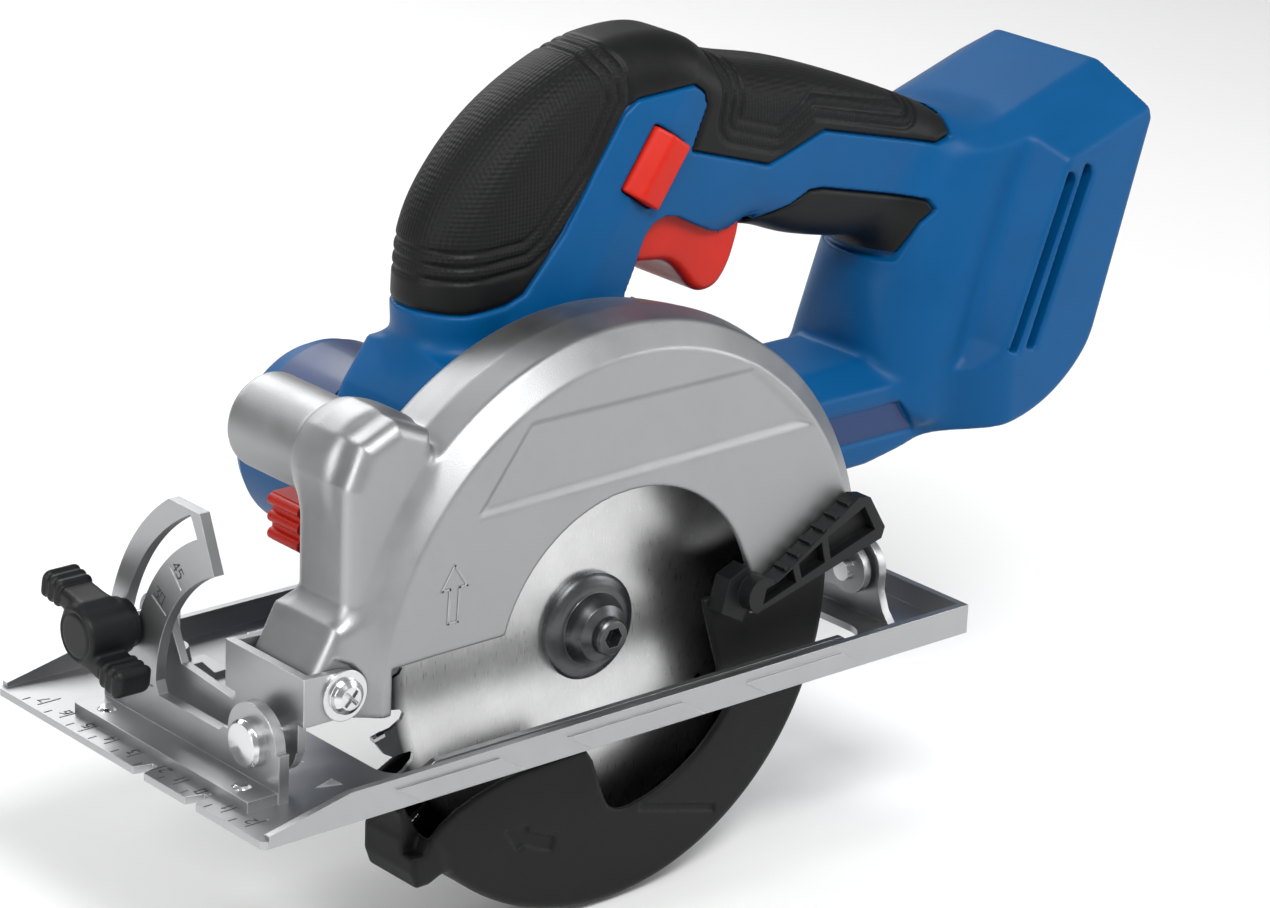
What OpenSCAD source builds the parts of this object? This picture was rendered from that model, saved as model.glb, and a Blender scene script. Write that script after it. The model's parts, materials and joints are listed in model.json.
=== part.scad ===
// Compact cordless circular saw with a swinging guard, built as separate pieces.
// Axes: +X is the cutting direction, +Y the blade side, +Z up.
// Origin: on the sole, straight below the arbor, in the mid-plane of the blade.

/* [Blade] */
// Blade diameter over the tips
blade_d = 140; // [138:1:141]
// Number of teeth
tooth_count = 30; // [24:2:36]
// Thickness of the blade body
blade_t = 1.1; // [1:0.1:1.4]
// Width of the cut
kerf = 1.8; // [1.6:0.1:2]
// Height of the arbor above the sole at full depth
arbor_z = 19; // [19:0.5:20]

/* [Base plate] */
// Sheet thickness
plate_t = 2; // [1.8:0.1:2.2]
// Front edge of the plate
plate_front = 123.6; // [122:0.2:125]
// Rear edge of the plate
plate_rear = -111.6; // [-113:0.2:-110]
// Left edge of the plate, blade side
plate_left = 30.2; // [30:0.1:31]
// Right edge of the plate, motor side
plate_right = -86; // [-88:0.5:-85]
// Height of the turned-up edges
edge_h = 8.2; // [7:0.1:8.4]

/* [Bevel] */
// Sideways place of the bevel axis
bevel_y = 3.6; // [3.4:0.1:3.8]
// Height of the bevel axis
bevel_z = 14.8; // [14.6:0.1:15]
// Radius of the quadrant slot
quadrant_r = 54; // [53.5:0.1:54.5]
// Angle of the clamp bolt above the bevel axis at 0 degrees
bolt_angle = 15; // [14:0.5:16]

/* [Depth] */
// Place of the depth axis along the saw
depth_x = 89; // [88.8:0.1:89.2]
// Height of the depth axis
depth_z = 26.5; // [26.3:0.1:26.7]
// Radius of the depth arm about the depth axis
depth_r = 131; // [130.5:0.1:131.5]

/* [Drive] */
// Motor axis along the saw
motor_x = 19; // [19:0.5:19]
// Motor axis height
motor_z = 49; // [49:0.5:49]
// Gear module
gear_m = 1; // [1:1]
// Teeth on the spindle gear
spindle_teeth = 26; // [26:1:26]
// Teeth on the large idler gear
idler_teeth = 36; // [36:1:36]
// Teeth on the small idler gear
idler_pinion_teeth = 19; // [19:1:19]
// Teeth on the motor pinion
motor_teeth = 10; // [10:1:10]

/* [Handle] */
// Middle plane of the handle, where the two shells meet
seam_y = -35; // [-35.5:0.5:-34.5]
// Width of the handle
handle_w = 34; // [33:0.5:35]
// Width of the battery foot
foot_w = 76; // [75:0.5:76]
// Wall thickness of the moulded shells
wall = 2.4; // [2.2:0.1:2.6]

/* [Hidden] */
$fn = 96;
fit = 0.05;
gap = 0.4;
blade_r = blade_d / 2;
guard_back_y = -12;
guard_face_y = 18;
guard_wall = 2.2;
case_wall = 2.2;
lower_near_y = 14;
lower_far_y = -9.4;
lower_wall = 2;
lower_r = 74;
neck_r = 14;
opening_r = 42.5;
tube_x = 70.5;
tube_z = 77;
tube_r = 12.6;
duct_r = 10;
lug_y = 12.9;
slot_left = 18.8;
slot_right = -30.6;
slot_front = 76;
slot_rear = -86;
lip_h = 4.5;
quadrant_top = 67;
bracket_x = 105;
bracket_t = 3;
bolt_y = bevel_y - quadrant_r * cos(bolt_angle);
bolt_z = bevel_z + quadrant_r * sin(bolt_angle);
clamp_x = depth_x + depth_r * cos(181);
clamp_z = depth_z + depth_r * sin(181);
handle_near = seam_y + handle_w / 2;
handle_far = seam_y - handle_w / 2;
foot_near = seam_y + foot_w / 2;
foot_far = seam_y - foot_w / 2;
arm_near = -12;
arm_far = -58;
grip_t = 2.2;
shoe_x = -194.4;
shoe_z = 96;
shoe_lean = 15.7;
button_end = 66;
spout_y = -12;
boss_x = 85;
boss_y = -64;
yoke_near = 15.2;
yoke_far = -17.2;
yoke_x = 98.6;
sheet = 2.4;
pivot_r = 3;
front_pin_r = 4;
bolt_r = 2.5;
arm_y = -16.6;
arm_t = 2.2;
slot_half = 3.1;
case_back = -44;
case_end = -46.4;
idler_r = 3;
rotor_r = 3.2;
bore_r = 23.8;
lock_off_x = -34;
lock_off_z = 132;
lock_off_lean = -34;
trigger_x = -43;
trigger_z = 114;
screw_head_y = seam_y - 14;
screw_places = [[24, 96], [-18, 152], [-100, 140], [-140, 108], [-120, 48], [-60, 44]];
// The idler axis stands off the line from arbor to motor so that both pairs mesh
drive_dx = motor_x;
drive_dz = motor_z - arbor_z;
drive_len = sqrt(drive_dx * drive_dx + drive_dz * drive_dz);
spindle_to_idler = gear_m * (spindle_teeth + idler_pinion_teeth) / 2;
motor_to_idler = gear_m * (motor_teeth + idler_teeth) / 2;
idler_along = (pow(spindle_to_idler, 2) - pow(motor_to_idler, 2) + pow(drive_len, 2)) / (2 * drive_len);
idler_off = sqrt(pow(spindle_to_idler, 2) - pow(idler_along, 2));
idler_x = (drive_dx * idler_along - drive_dz * idler_off) / drive_len;
idler_z = arbor_z + (drive_dz * idler_along + drive_dx * idler_off) / drive_len;
idler_angle = atan2(idler_z - arbor_z, idler_x);
motor_angle = atan2(motor_z - idler_z, motor_x - idler_x);

// ---- helpers ----

// Points on an arc in the side view
function arc(cx, cz, r, a0, a1, n = 12) =
  [for (i = [0:n]) [cx + r * cos(a0 + (a1 - a0) * i / n), cz + r * sin(a0 + (a1 - a0) * i / n)]];

// Extrudes a side view, drawn in X and Z, from y_low to y_high
module side(y_low, y_high) {
  translate([0, y_high, 0])
    rotate([90, 0, 0])
      linear_extrude(y_high - y_low)
        children();
}

// Extrudes a front view, drawn in Y and Z, from x_low to x_high
module front(x_low, x_high) {
  translate([x_low, 0, 0])
    rotate([90, 0, 90])
      linear_extrude(x_high - x_low)
        children();
}

// Cylinder along Y
module rod(x, z, r, y_low, y_high, sides = 96) {
  translate([x, y_high, z])
    rotate([90, 0, 0])
      cylinder(r = r, h = y_high - y_low, $fn = sides);
}

// Cylinder along X
module rod_x(y, z, r, x_low, x_high, sides = 64) {
  translate([x_low, y, z])
    rotate([0, 90, 0])
      cylinder(r = r, h = x_high - x_low, $fn = sides);
}

// Turns a profile of radius and height about a Y axis; height runs towards +Y
module turned(x, z) {
  translate([x, 0, z])
    rotate([-90, 0, 0])
      rotate_extrude($fn = 120)
        children();
}

// Spur gear outline with slightly thin teeth, one tooth at angle phase
module gear_2d(teeth, phase) {
  pitch_r = gear_m * teeth / 2;
  step = 360 / teeth;
  tip_r = pitch_r + 0.85 * gear_m;
  root_r = pitch_r - 1.15 * gear_m;
  polygon([for (i = [0:teeth - 1]) for (p = [[root_r, -0.34], [pitch_r, -0.215], [tip_r, -0.1],
    [tip_r, 0.1], [pitch_r, 0.215], [root_r, 0.34]])
    [p[0] * cos(phase + (i + p[1]) * step), p[0] * sin(phase + (i + p[1]) * step)]]);
}

// ---- base ----

plate_outline = [
  [plate_rear, plate_right], [plate_front - 1.5, plate_right], [plate_front, plate_right + 1.5],
  [plate_front, plate_left - 1.2], [plate_front - 1.2, plate_left], [plate_rear, plate_left]
];

module v_notch(y) {
  translate([plate_front, y, -1])
    linear_extrude(plate_t + 2)
      polygon([[1, -2.6], [1, 2.6], [-5, 1], [-5, -1]]);
}

module blade_slot_2d() {
  difference() {
    translate([slot_rear, slot_right])
      square([slot_front - slot_rear, slot_left - slot_right]);
    translate([slot_front - 8, slot_left - 8])
      difference() {
        square([9, 9]);
        circle(r = 8);
      }
    translate([slot_rear + 8, slot_left - 8])
      difference() {
        translate([-9, 0]) square([9, 9]);
        circle(r = 8);
      }
  }
}

module edge_relief(x_low, x_high, y) {
  side(y, y + 0.8)
    polygon([[x_low, 0.6], [x_high - 8, 0.6], [x_high, 5.6], [x_low + 8, 5.6]]);
}

module side_edge(y) {
  side(y - plate_t, y)
    polygon([[plate_rear, 0], [plate_front - 1.8, 0], [plate_front - 1.8, plate_t + 1.2],
      [plate_front - 26, edge_h], [plate_rear, edge_h]]);
}

module rear_ear_2d() {
  difference() {
    union() {
      polygon([[-16, plate_t / 2], [18, plate_t / 2], [14.5, 5], [12.4, 10], [-8.5, 10], [-11, 5]]);
      translate([bevel_y, bevel_z]) circle(r = 9);
      translate([-6, 5]) square([18.4, 9]);
    }
    translate([bevel_y, bevel_z]) circle(r = 3 + fit);
  }
}

module base_plate() {
  color("silver")
  difference() {
    union() {
      linear_extrude(plate_t)
        difference() {
          polygon(plate_outline);
          blade_slot_2d();
        }
      side_edge(plate_left);
      side_edge(plate_right + plate_t);
      // turned-up rear edge, with a gap behind the rear ear
      translate([plate_rear, plate_right, 0])
        cube([plate_t, plate_left - plate_right, edge_h]);
      // lip along the blade slot
      side(slot_left, slot_left + 1.8)
        polygon([[slot_rear + 6, 0.5], [slot_front - 4, 0.5], [slot_front - 12, lip_h],
          [slot_rear + 12, lip_h]]);
      for (span = [[-72, -30], [-16, 30], [44, 84]])
        edge_relief(span[0], span[1], plate_left - 0.1);
      front(-97, -94.5) rear_ear_2d();
    }
    v_notch(0);
    v_notch(-22);
    // engraved front scale, every 10 mm
    for (i = [0:7])
      translate([plate_front - 9, -10 * i - 0.2, plate_t - 0.25])
        cube([i % 5 == 0 ? 8 : 6, 0.4, 1]);
    for (i = [1:2])
      translate([plate_front - 9, 10 * i - 0.2, plate_t - 0.25])
        cube([6, 0.4, 1]);
    // triangular cut guides behind the bracket
    for (y = [-4, 12])
      translate([92, y, -1])
        linear_extrude(plate_t + 2)
          polygon([[-4, -2.2], [-4, 2.2], [3, 0]]);
    // see-through opening under the fence boss
    translate([77, -69, -1]) cube([8, 11, plate_t + 2]);
  }
}

module quadrant_sector(r, a0, a1) {
  polygon(concat([[0, 0]], arc(0, 0, r, a0, a1, 24)));
}

module bevel_bracket() {
  color("silver")
  difference() {
    union() {
      front(bracket_x, bracket_x + bracket_t)
        union() {
          // cross bar with the pivot ear
          polygon([[-60, plate_t], [15, plate_t], [15, bevel_z], [-8, bevel_z], [-10, 13.2], [-36, 13.2],
            [-38, 18], [-60, 18]]);
          translate([bevel_y, bevel_z]) circle(r = 10);
          translate([bevel_y, bevel_z])
            difference() {
              quadrant_sector(63, 113, 180);
              circle(r = 41);
              translate([-80, quadrant_top - bevel_z]) square([100, 20]);
            }
          translate([-59.4, 13]) square([22, 6]);
        }
      // foot flange riveted to the plate
      translate([bracket_x, -60, plate_t]) cube([12, 74.5, bracket_t]);
    }
    // quadrant slot
    front(bracket_x - 1, bracket_x + bracket_t + 1)
      translate([bevel_y, bevel_z])
        intersection() {
          difference() {
            circle(r = quadrant_r + slot_half);
            circle(r = quadrant_r - slot_half);
          }
          quadrant_sector(70, 180 - bolt_angle - 48, 180 - bolt_angle + 4);
        }
    rod_x(bevel_y, bevel_z, front_pin_r + fit, bracket_x - 1, bracket_x + bracket_t + 1);
    // engraved bevel marks
    for (a = [0, 30, 45])
      translate([bracket_x + bracket_t - 0.3, bevel_y, bevel_z])
        rotate([180 - a, 0, 0])
          translate([0, 42, -0.25]) cube([1, 7, 0.5]);
    for (y = [-52, 6])
      translate([bracket_x + 7.5, y, 0]) cylinder(r = 1.6 + fit, h = 10);
  }
}

module bracket_rivets() {
  color("gray")
  for (y = [-52, 6])
    translate([bracket_x + 7.5, y, plate_t]) {
      cylinder(r = 1.6, h = bracket_t);
      translate([0, 0, bracket_t]) cylinder(r1 = 2.6, r2 = 1.8, h = 0.7);
    }
}

module front_pivot_pin() {
  color("silver") {
    rod_x(bevel_y, bevel_z, front_pin_r, bracket_x - 6, bracket_x + bracket_t);
    translate([bracket_x + bracket_t, bevel_y, bevel_z])
      rotate([0, 90, 0])
        rotate_extrude()
          polygon([[0, 0], [6.2, 0], [6.2, 2.2], [5.4, 3.2], [0, 3.6]]);
  }
}

module rear_pivot_pin() {
  color("silver") {
    rod_x(bevel_y, bevel_z, 3, -97, -88.5);
    rod_x(bevel_y, bevel_z, 5, -99.4, -97);
  }
}

module fence_boss() {
  color("silver")
  difference() {
    union() {
      // raised strap that bridges the opening
      side(boss_y - 6, boss_y + 6)
        polygon([[boss_x - 15, plate_t], [boss_x - 9, plate_t], [boss_x - 5, 6], [boss_x + 5, 6],
          [boss_x + 9, plate_t], [boss_x + 15, plate_t], [boss_x + 15, 3.6], [boss_x + 9.8, 3.6],
          [boss_x + 5.8, 7.6], [boss_x - 5.8, 7.6], [boss_x - 9.8, 3.6], [boss_x - 15, 3.6]]);
      translate([boss_x, boss_y, 7]) cylinder(r1 = 5.6, r2 = 4.8, h = 4.5);
    }
    translate([boss_x, boss_y, 0]) cylinder(r = 2.6, h = 20);
  }
}

// ---- tilting frame ----

module arm_2d(r) {
  union() {
    translate([depth_x, depth_z]) circle(r = r);
    polygon([[depth_x, depth_z - r], [yoke_x + 1, depth_z - r], [yoke_x + 1, 33.2], [depth_x, 32.6]]);
  }
}

module front_yoke() {
  color("silver")
  difference() {
    union() {
      front(yoke_x, yoke_x + sheet)
        polygon([[yoke_far, 20.6], [yoke_near, 20.6], [yoke_near, 33.2], [yoke_far, 33.2]]);
      side(yoke_near - 2.2, yoke_near) arm_2d(6);
      side(yoke_far, yoke_far + 2.2) arm_2d(6);
      // tilting plate behind the bracket: round ear, low arm and bolt eye
      front(yoke_x, yoke_x + sheet)
        union() {
          translate([bevel_y, bevel_z]) circle(r = 9);
          translate([-13, 13]) square([26, 8]);
          polygon([[0, 8], [-44, 10], [-54, 26], [-43, 32.6], [-36, 20], [-13, 18], [0, 18]]);
          translate([bolt_y, bolt_z]) circle(r = 6);
        }
    }
    rod_x(bevel_y, bevel_z, front_pin_r + fit, yoke_x - 1, yoke_x + 4);
    rod(depth_x, depth_z, pivot_r + fit, yoke_far - 1, yoke_near + 1);
    rod_x(bolt_y, bolt_z, bolt_r + fit, yoke_x - 1, yoke_x + 4);
  }
}

module depth_arm() {
  color("silver")
  difference() {
    union() {
      side(arm_y, arm_y + arm_t)
        translate([depth_x, depth_z])
          intersection() {
            difference() {
              circle(r = depth_r + 5.4, $fn = 180);
              circle(r = depth_r - 4.2, $fn = 180);
            }
            quadrant_sector(160, 148, 184);
          }
      side(arm_y, arm_y + arm_t)
        polygon([[-93, 7], [-50, 12], [-38, 17.6], [-43.5, 27], [-60, 24], [-93, 22]]);
      front(-93.2, -90.8)
        union() {
          translate([bevel_y, bevel_z]) circle(r = 7);
          translate([arm_y, 8.5]) square([20, 12.6]);
        }
    }
    side(-17, -14)
      translate([depth_x, depth_z])
        intersection() {
          difference() {
            circle(r = depth_r + slot_half, $fn = 180);
            circle(r = depth_r - slot_half, $fn = 180);
          }
          quadrant_sector(160, 150.5, 182.5);
        }
    rod_x(bevel_y, bevel_z, 3 + fit, -94, -90);
  }
}

module pivot_screw() {
  color("silver")
  difference() {
    union() {
      rod(depth_x, depth_z, pivot_r, yoke_far - 4, yoke_near + 1);
      turned(depth_x, depth_z)
        polygon([[0, yoke_near], [6.6, yoke_near], [6.6, yoke_near + 0.8], [4.6, yoke_near + 0.8],
          [4.4, yoke_near + 2.2], [3, yoke_near + 3.2], [0, yoke_near + 3.4]]);
    }
    for (a = [45, 135])
      translate([depth_x, yoke_near + 3, depth_z])
        rotate([0, a, 0]) cube([5, 3, 1], center = true);
  }
}

module pivot_nut() {
  color("gray")
  difference() {
    rod(depth_x, depth_z, 5.4, yoke_far - 4, yoke_far, sides = 6);
    rod(depth_x, depth_z, pivot_r, yoke_far - 5, yoke_far + 1);
  }
}

module bevel_bolt() {
  color("gray") {
    rod_x(bolt_y, bolt_z, bolt_r, yoke_x - 0.2, 121);
    translate([yoke_x - 3.2, bolt_y - 4, bolt_z - 4]) cube([3.1, 8, 8]);
  }
}

module bevel_knob() {
  color("#202224")
  difference() {
    union() {
      rod_x(bolt_y, bolt_z, 7.6, 108.4, 110.4);
      rod_x(bolt_y, bolt_z, 6.6, 110.4, 113);
      rod_x(bolt_y, bolt_z, 8.4, 113, 125);
      // two wings set off to opposite sides of the hub
      for (s = [0, 180])
        translate([0, bolt_y, bolt_z])
          rotate([s + 22, 0, 0])
            translate([114.5, 2, 2.6]) cube([9, 16, 5.2]);
    }
    rod_x(bolt_y, bolt_z, bolt_r + fit, 108, 121.5);
  }
}

// ---- head: castings ----

// Outer and inner outline of the guard, as radius and height along Y
guard_outer = [
  [0, guard_back_y], [82.6, guard_back_y], [84.4, -11], [85, -9.5], [86, -3], [86.7, 3],
  [85.2, 12.5], [78.8, guard_face_y], [0, guard_face_y]
];
guard_inner = [
  [0, guard_back_y + guard_wall], [81.6, guard_back_y + guard_wall], [82.6, -7], [83.6, 3],
  [82.4, 11.3], [77, guard_face_y - guard_wall], [0, guard_face_y - guard_wall]
];

// Side view that the guard casting keeps
module guard_keep_2d() {
  union() {
    polygon([[-100, 30.5], [-44, 25], [-30, 21], [30, 21], [66, 18.3], [100, 18.3], [100, 120],
      [-100, 120]]);
    translate([0, arbor_z]) circle(r = 16);
    translate([clamp_x, clamp_z]) circle(r = 7);
  }
}

// Part of the near face that is cut away around the blade
module guard_window_2d() {
  translate([0, arbor_z]) circle(r = opening_r);
  polygon([[-41.5, 0], [-41.5, 26], [0, 30], [34, 31.2], [76, 30.8], [76, 0]]);
}

module column_2d() {
  union() {
    translate([tube_x, tube_z]) circle(r = 15);
    polygon([[58, 60], [62, 46], [72, 34], [82, 20.5], [93, 20.5], [95, 26], [95, 31], [88.5, 38],
      [85.5, 45], [85.5, tube_z], [tube_x, tube_z]]);
    translate([depth_x, depth_z]) circle(r = 6.6);
  }
}

module upper_guard() {
  color("silver")
  difference() {
    union() {
      intersection() {
        turned(0, arbor_z) polygon(guard_outer);
        side(-20, 30) guard_keep_2d();
      }
      side(-11, 12.5)
        intersection() {
          column_2d();
          translate([40, 31]) square([60, 80]);
        }
      // broad foot of the column between the arms of the yoke
      side(yoke_far + 2.6, lug_y - 0.4)
        difference() {
          intersection() {
            column_2d();
            translate([79, 10]) square([30, 33]);
          }
          translate([0, arbor_z]) circle(r = 82);
        }
      rod(tube_x, tube_z, tube_r + 1.2, spout_y, 0);
    }
    turned(0, arbor_z) polygon(guard_inner);
    side(guard_face_y - guard_wall - 0.5, 30) guard_window_2d();
    // dust duct, open to the inside of the guard
    rod(tube_x, tube_z, duct_r, spout_y - 1, 8.5);
    side(-7, 8.5) polygon([[50, 66], [60, 60], [72, 72], [62, 80]]);
    // bore for the neck of the gear case
    rod(0, arbor_z, neck_r + fit, -14, -9);
    rod(depth_x, depth_z, pivot_r + fit, -20, 20);
    rod(clamp_x, clamp_z, bolt_r + fit, -14, -9);
    // room for the end of the near yoke arm
    rod(depth_x, depth_z, 6.6, lug_y, 20);
    // shallow band across the face
    side(guard_face_y - 0.9, 30)
      polygon([[51.4, 64.4], [34.5, 86.3], [-39, 86.6], [-62, 67]]);
    // moulded direction arrow
    side(guard_face_y - 0.5, 30)
      polygon([[56.6, 40], [58.8, 40], [58.8, 48], [60.4, 48], [57.7, 53], [55, 48], [56.6, 48]]);
  }
}

// Tube that carries the dust to the motor side
module dust_spout() {
  color("silver")
  difference() {
    rod(tube_x, tube_z, tube_r, -43, spout_y);
    rod(tube_x, tube_z, duct_r, -44, spout_y + 1);
  }
}

// Side view of the gear case, grown by d
module gear_case_2d(d) {
  union() {
    translate([0, arbor_z]) circle(r = 14.2 + d);
    translate([idler_x, idler_z]) circle(r = 19.6 + d);
    translate([motor_x, motor_z]) circle(r = 20 + d);
    polygon([[-13 - d, arbor_z], [idler_x - 19 - d, idler_z], [motor_x, motor_z], [13 + d, arbor_z]]);
  }
}

module gear_case() {
  color("silver")
  difference() {
    union() {
      side(case_back, guard_back_y) gear_case_2d(case_wall);
      rod(0, arbor_z, neck_r, guard_back_y, -5.6);
    }
    side(case_back - 1, -19) gear_case_2d(0);
    rod(0, arbor_z, 6.2, -20, -5);
    rod(0, arbor_z, 11, -13.5, -5);
    rod(motor_x, motor_z, 5, -20, -16);
    rod(idler_x, idler_z, idler_r + fit, -20, -16);
    // groove for the retaining ring
    difference() {
      rod(0, arbor_z, neck_r + 1, -7.1, -6.2);
      rod(0, arbor_z, neck_r - 1.2, -8, -5);
    }
    translate([38, -44.5, motor_z - 7.4]) cube([20, 10, 14.8]);
  }
}

module gear_cover() {
  color("silver")
  difference() {
    union() {
      side(case_end, case_back) gear_case_2d(case_wall);
      rod(0, arbor_z, 9.5, case_back, -38);
    }
    rod(0, arbor_z, 8, -44.5, -37.5);
    rod(motor_x, motor_z, 11, -47, -43);
    rod(idler_x, idler_z, idler_r + fit, -47, -43);
  }
}

module guard_retainer() {
  color("gray")
  difference() {
    rod(0, arbor_z, neck_r + 2.6, -7, -6.3);
    rod(0, arbor_z, neck_r - 1.1, -8, -5);
    side(-8, -5)
      translate([0, arbor_z]) rotate(60) square([40, 8]);
  }
}

module ring_bearing(x, z, outer_r, inner_r, y_low, y_high) {
  difference() {
    rod(x, z, outer_r, y_low, y_high);
    rod(x, z, inner_r, y_low - 1, y_high + 1);
    for (y = [y_low, y_high])
      difference() {
        rod(x, z, outer_r - 1.4, y - 0.4, y + 0.4);
        rod(x, z, inner_r + 1.4, y - 1, y + 1);
      }
  }
}

module spindle_bearings() {
  color("silver") {
    ring_bearing(0, arbor_z, 11 - fit, 5 + fit, -13.4, -6);
    ring_bearing(0, arbor_z, 8 - fit, 4 + fit, -43.8, -39);
  }
}

// ---- spindle ----

module arbor() {
  color("gray")
  difference() {
    union() {
      rod(0, arbor_z, 5, -20, -4.4);
      rod(0, arbor_z, 5, -38, -28.4);
      // relieved past the large idler gear
      rod(0, arbor_z, 3.3, -30, -18);
      rod(0, arbor_z, 4, -43.9, -37);
      rod(0, arbor_z, 4.2, -4.4, 1.2);
    }
    rod(0, arbor_z, 2.5 + fit, -18.6, 2);
  }
}

module drive_gear() {
  color("gray")
  difference() {
    side(-36, -29)
      translate([0, arbor_z])
        gear_2d(spindle_teeth, idler_angle);
    rod(0, arbor_z, 5 + fit, -37, -28);
  }
}

module inner_flange() {
  color("dimgray")
  difference() {
    union() {
      rod(0, arbor_z, 14.5, -4.4, -blade_t / 2);
      rod(0, arbor_z, 10 - fit, -1, blade_t / 2 - 0.15);
    }
    rod(0, arbor_z, 4.2 + fit, -5, 2);
  }
}

// Outline of one tooth and its gullet, as radius and angle in steps of the tooth pitch
tooth_shape = [
  [blade_r - 1.6, 0], [blade_r - 6, -0.02], [blade_r - 9.4, 0.06], [blade_r - 10.4, 0.17],
  [blade_r - 9.6, 0.29], [blade_r - 7, 0.36], [blade_r - 4.2, 0.42], [blade_r - 2.4, 0.56],
  [blade_r - 0.8, 0.84], [blade_r - 0.4, 0.87], [blade_r - 3.6, 0.9], [blade_r - 3.6, 0.99]
];

module blade_2d() {
  polygon([for (i = [0:tooth_count - 1]) for (p = tooth_shape)
    [p[0] * cos((i + p[1]) * 360 / tooth_count), p[0] * sin((i + p[1]) * 360 / tooth_count)]]);
}

module saw_blade() {
  color("silver")
  difference() {
    side(-blade_t / 2, blade_t / 2)
      translate([0, arbor_z])
        difference() {
          blade_2d();
          circle(r = 10);
          // expansion slots with round ends
          for (i = [0:3])
            rotate(90 * i + 32) {
              translate([blade_r - 22, 0]) circle(r = 1.6, $fn = 24);
              translate([blade_r - 22, -0.3]) square([13, 0.6]);
            }
        }
  }
}

module carbide_tips() {
  color("lightgray")
  for (i = [0:tooth_count - 1])
    translate([0, 0, arbor_z])
      rotate([0, -(i + 0.945) * 360 / tooth_count, 0])
        translate([blade_r - 3.55, -kerf / 2, -0.55])
          cube([3.5, kerf, 1.1]);
}

module outer_flange() {
  color("dimgray")
  difference() {
    turned(0, arbor_z)
      polygon([[0, blade_t / 2], [14.5, blade_t / 2], [14.5, 2.4], [13.6, 3.2], [11.4, 4], [9.8, 4.1],
        [9, 6.2], [7.6, 8.4], [5.2, 9.6], [0, 9.6]]);
    rod(0, arbor_z, 4.2 + fit, 0, 1.4);
    rod(0, arbor_z, 3 + fit, 1, 12);
  }
}

module blade_bolt() {
  color("dimgray")
  difference() {
    union() {
      rod(0, arbor_z, 2.5, -18, 3.5);
      rod(0, arbor_z, 3 - fit, 3, 9.8);
      turned(0, arbor_z)
        polygon([[0, 9.6], [5, 9.6], [5, 11.6], [4.4, 12.3], [0, 12.3]]);
    }
    rod(0, arbor_z, 2.9, 8.6, 13, sides = 6);
  }
}

// ---- idler and motor ----

module idler_shaft() {
  color("gray")
  rod(idler_x, idler_z, idler_r, -46, -16.4);
}

module idler_gears() {
  color("gray")
  difference() {
    union() {
      side(-27.4, -21)
        translate([idler_x, idler_z])
          gear_2d(idler_teeth, motor_angle);
      side(-36.4, -27.4)
        translate([idler_x, idler_z])
          gear_2d(idler_pinion_teeth, idler_angle + 180 + 180 / idler_pinion_teeth);
    }
    rod(idler_x, idler_z, idler_r + fit, -40, -20);
  }
}

module rotor_shaft() {
  color("silver") {
    rod(motor_x, motor_z, rotor_r, -91, -28);
    side(-28, -20)
      translate([motor_x, motor_z])
        gear_2d(motor_teeth, motor_angle + 180 + 180 / motor_teeth);
    rod(motor_x, motor_z, 2, -20, -17);
  }
}

module rotor_core() {
  color("dimgray")
  difference() {
    rod(motor_x, motor_z, 12, -80, -56);
    rod(motor_x, motor_z, rotor_r + fit, -81, -55);
  }
}

module fan() {
  color("#303234")
  difference() {
    union() {
      rod(motor_x, motor_z, 7, -88.6, -83);
      rod(motor_x, motor_z, 21, -84.2, -83);
      for (i = [0:8])
        translate([motor_x, 0, motor_z])
          rotate([0, 40 * i, 0])
            translate([6, -88.4, -0.6]) cube([15, 5, 1.2]);
    }
    rod(motor_x, motor_z, rotor_r + fit, -90, -82);
  }
}

module stator() {
  color("peru")
  difference() {
    rod(motor_x, motor_z, 23.6, -81, -55);
    rod(motor_x, motor_z, 13, -82, -54);
    for (i = [0:5])
      translate([motor_x, 0, motor_z])
        rotate([0, 60 * i, 0])
          translate([12, -82, -2.4]) cube([8, 28, 4.8]);
  }
}

module motor_bearings() {
  color("silver") {
    ring_bearing(motor_x, motor_z, 8, rotor_r + fit, -52, -47);
    ring_bearing(motor_x, motor_z, 8, rotor_r + fit, -93, -89.2);
  }
}

module motor_housing() {
  color("#0a5c9e")
  difference() {
    union() {
      turned(motor_x, motor_z)
        polygon([[0, -95.4], [20, -95.4], [24.4, -93.4], [26, -90], [26.2, -46.5], [0, -46.5]]);
      // flat pad that carries the rating plate
      rod(motor_x, motor_z, 27, -58, -46.5);
    }
    rod(motor_x, motor_z, bore_r, -89, -53);
    rod(motor_x, motor_z, 8.05, -93, -46);
    difference() {
      rod(motor_x, motor_z, bore_r, -53.5, -46);
      rod(motor_x, motor_z, 11, -54, -45);
      // three spokes that carry the inner bearing seat
      side(-54, -45)
        for (a = [45, 165, 285])
          translate([motor_x, motor_z])
            rotate(a)
              translate([8, -4]) square([18, 8]);
    }
    // air slots in the end and along the lower rim
    for (i = [-3:3])
      translate([motor_x + 5.6 * i - 1.2, -97, motor_z - 15 + abs(i) * 2]) cube([2.4, 9, 8]);
    for (i = [-3:3])
      translate([motor_x + 5.6 * i - 1.2, -97, motor_z + 9 - abs(i) * 2]) cube([2.4, 9, 8]);
  }
}

module rating_plate() {
  color("#1a2c58")
  side(-86, -62)
    translate([motor_x, motor_z])
      difference() {
        circle(r = 26.9);
        circle(r = 26.3);
        rotate(105) translate([-60, -60]) square([60, 120]);
        rotate(35) translate([-60, -120]) square([120, 120]);
      }
}

// ---- moulded housing ----

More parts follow.
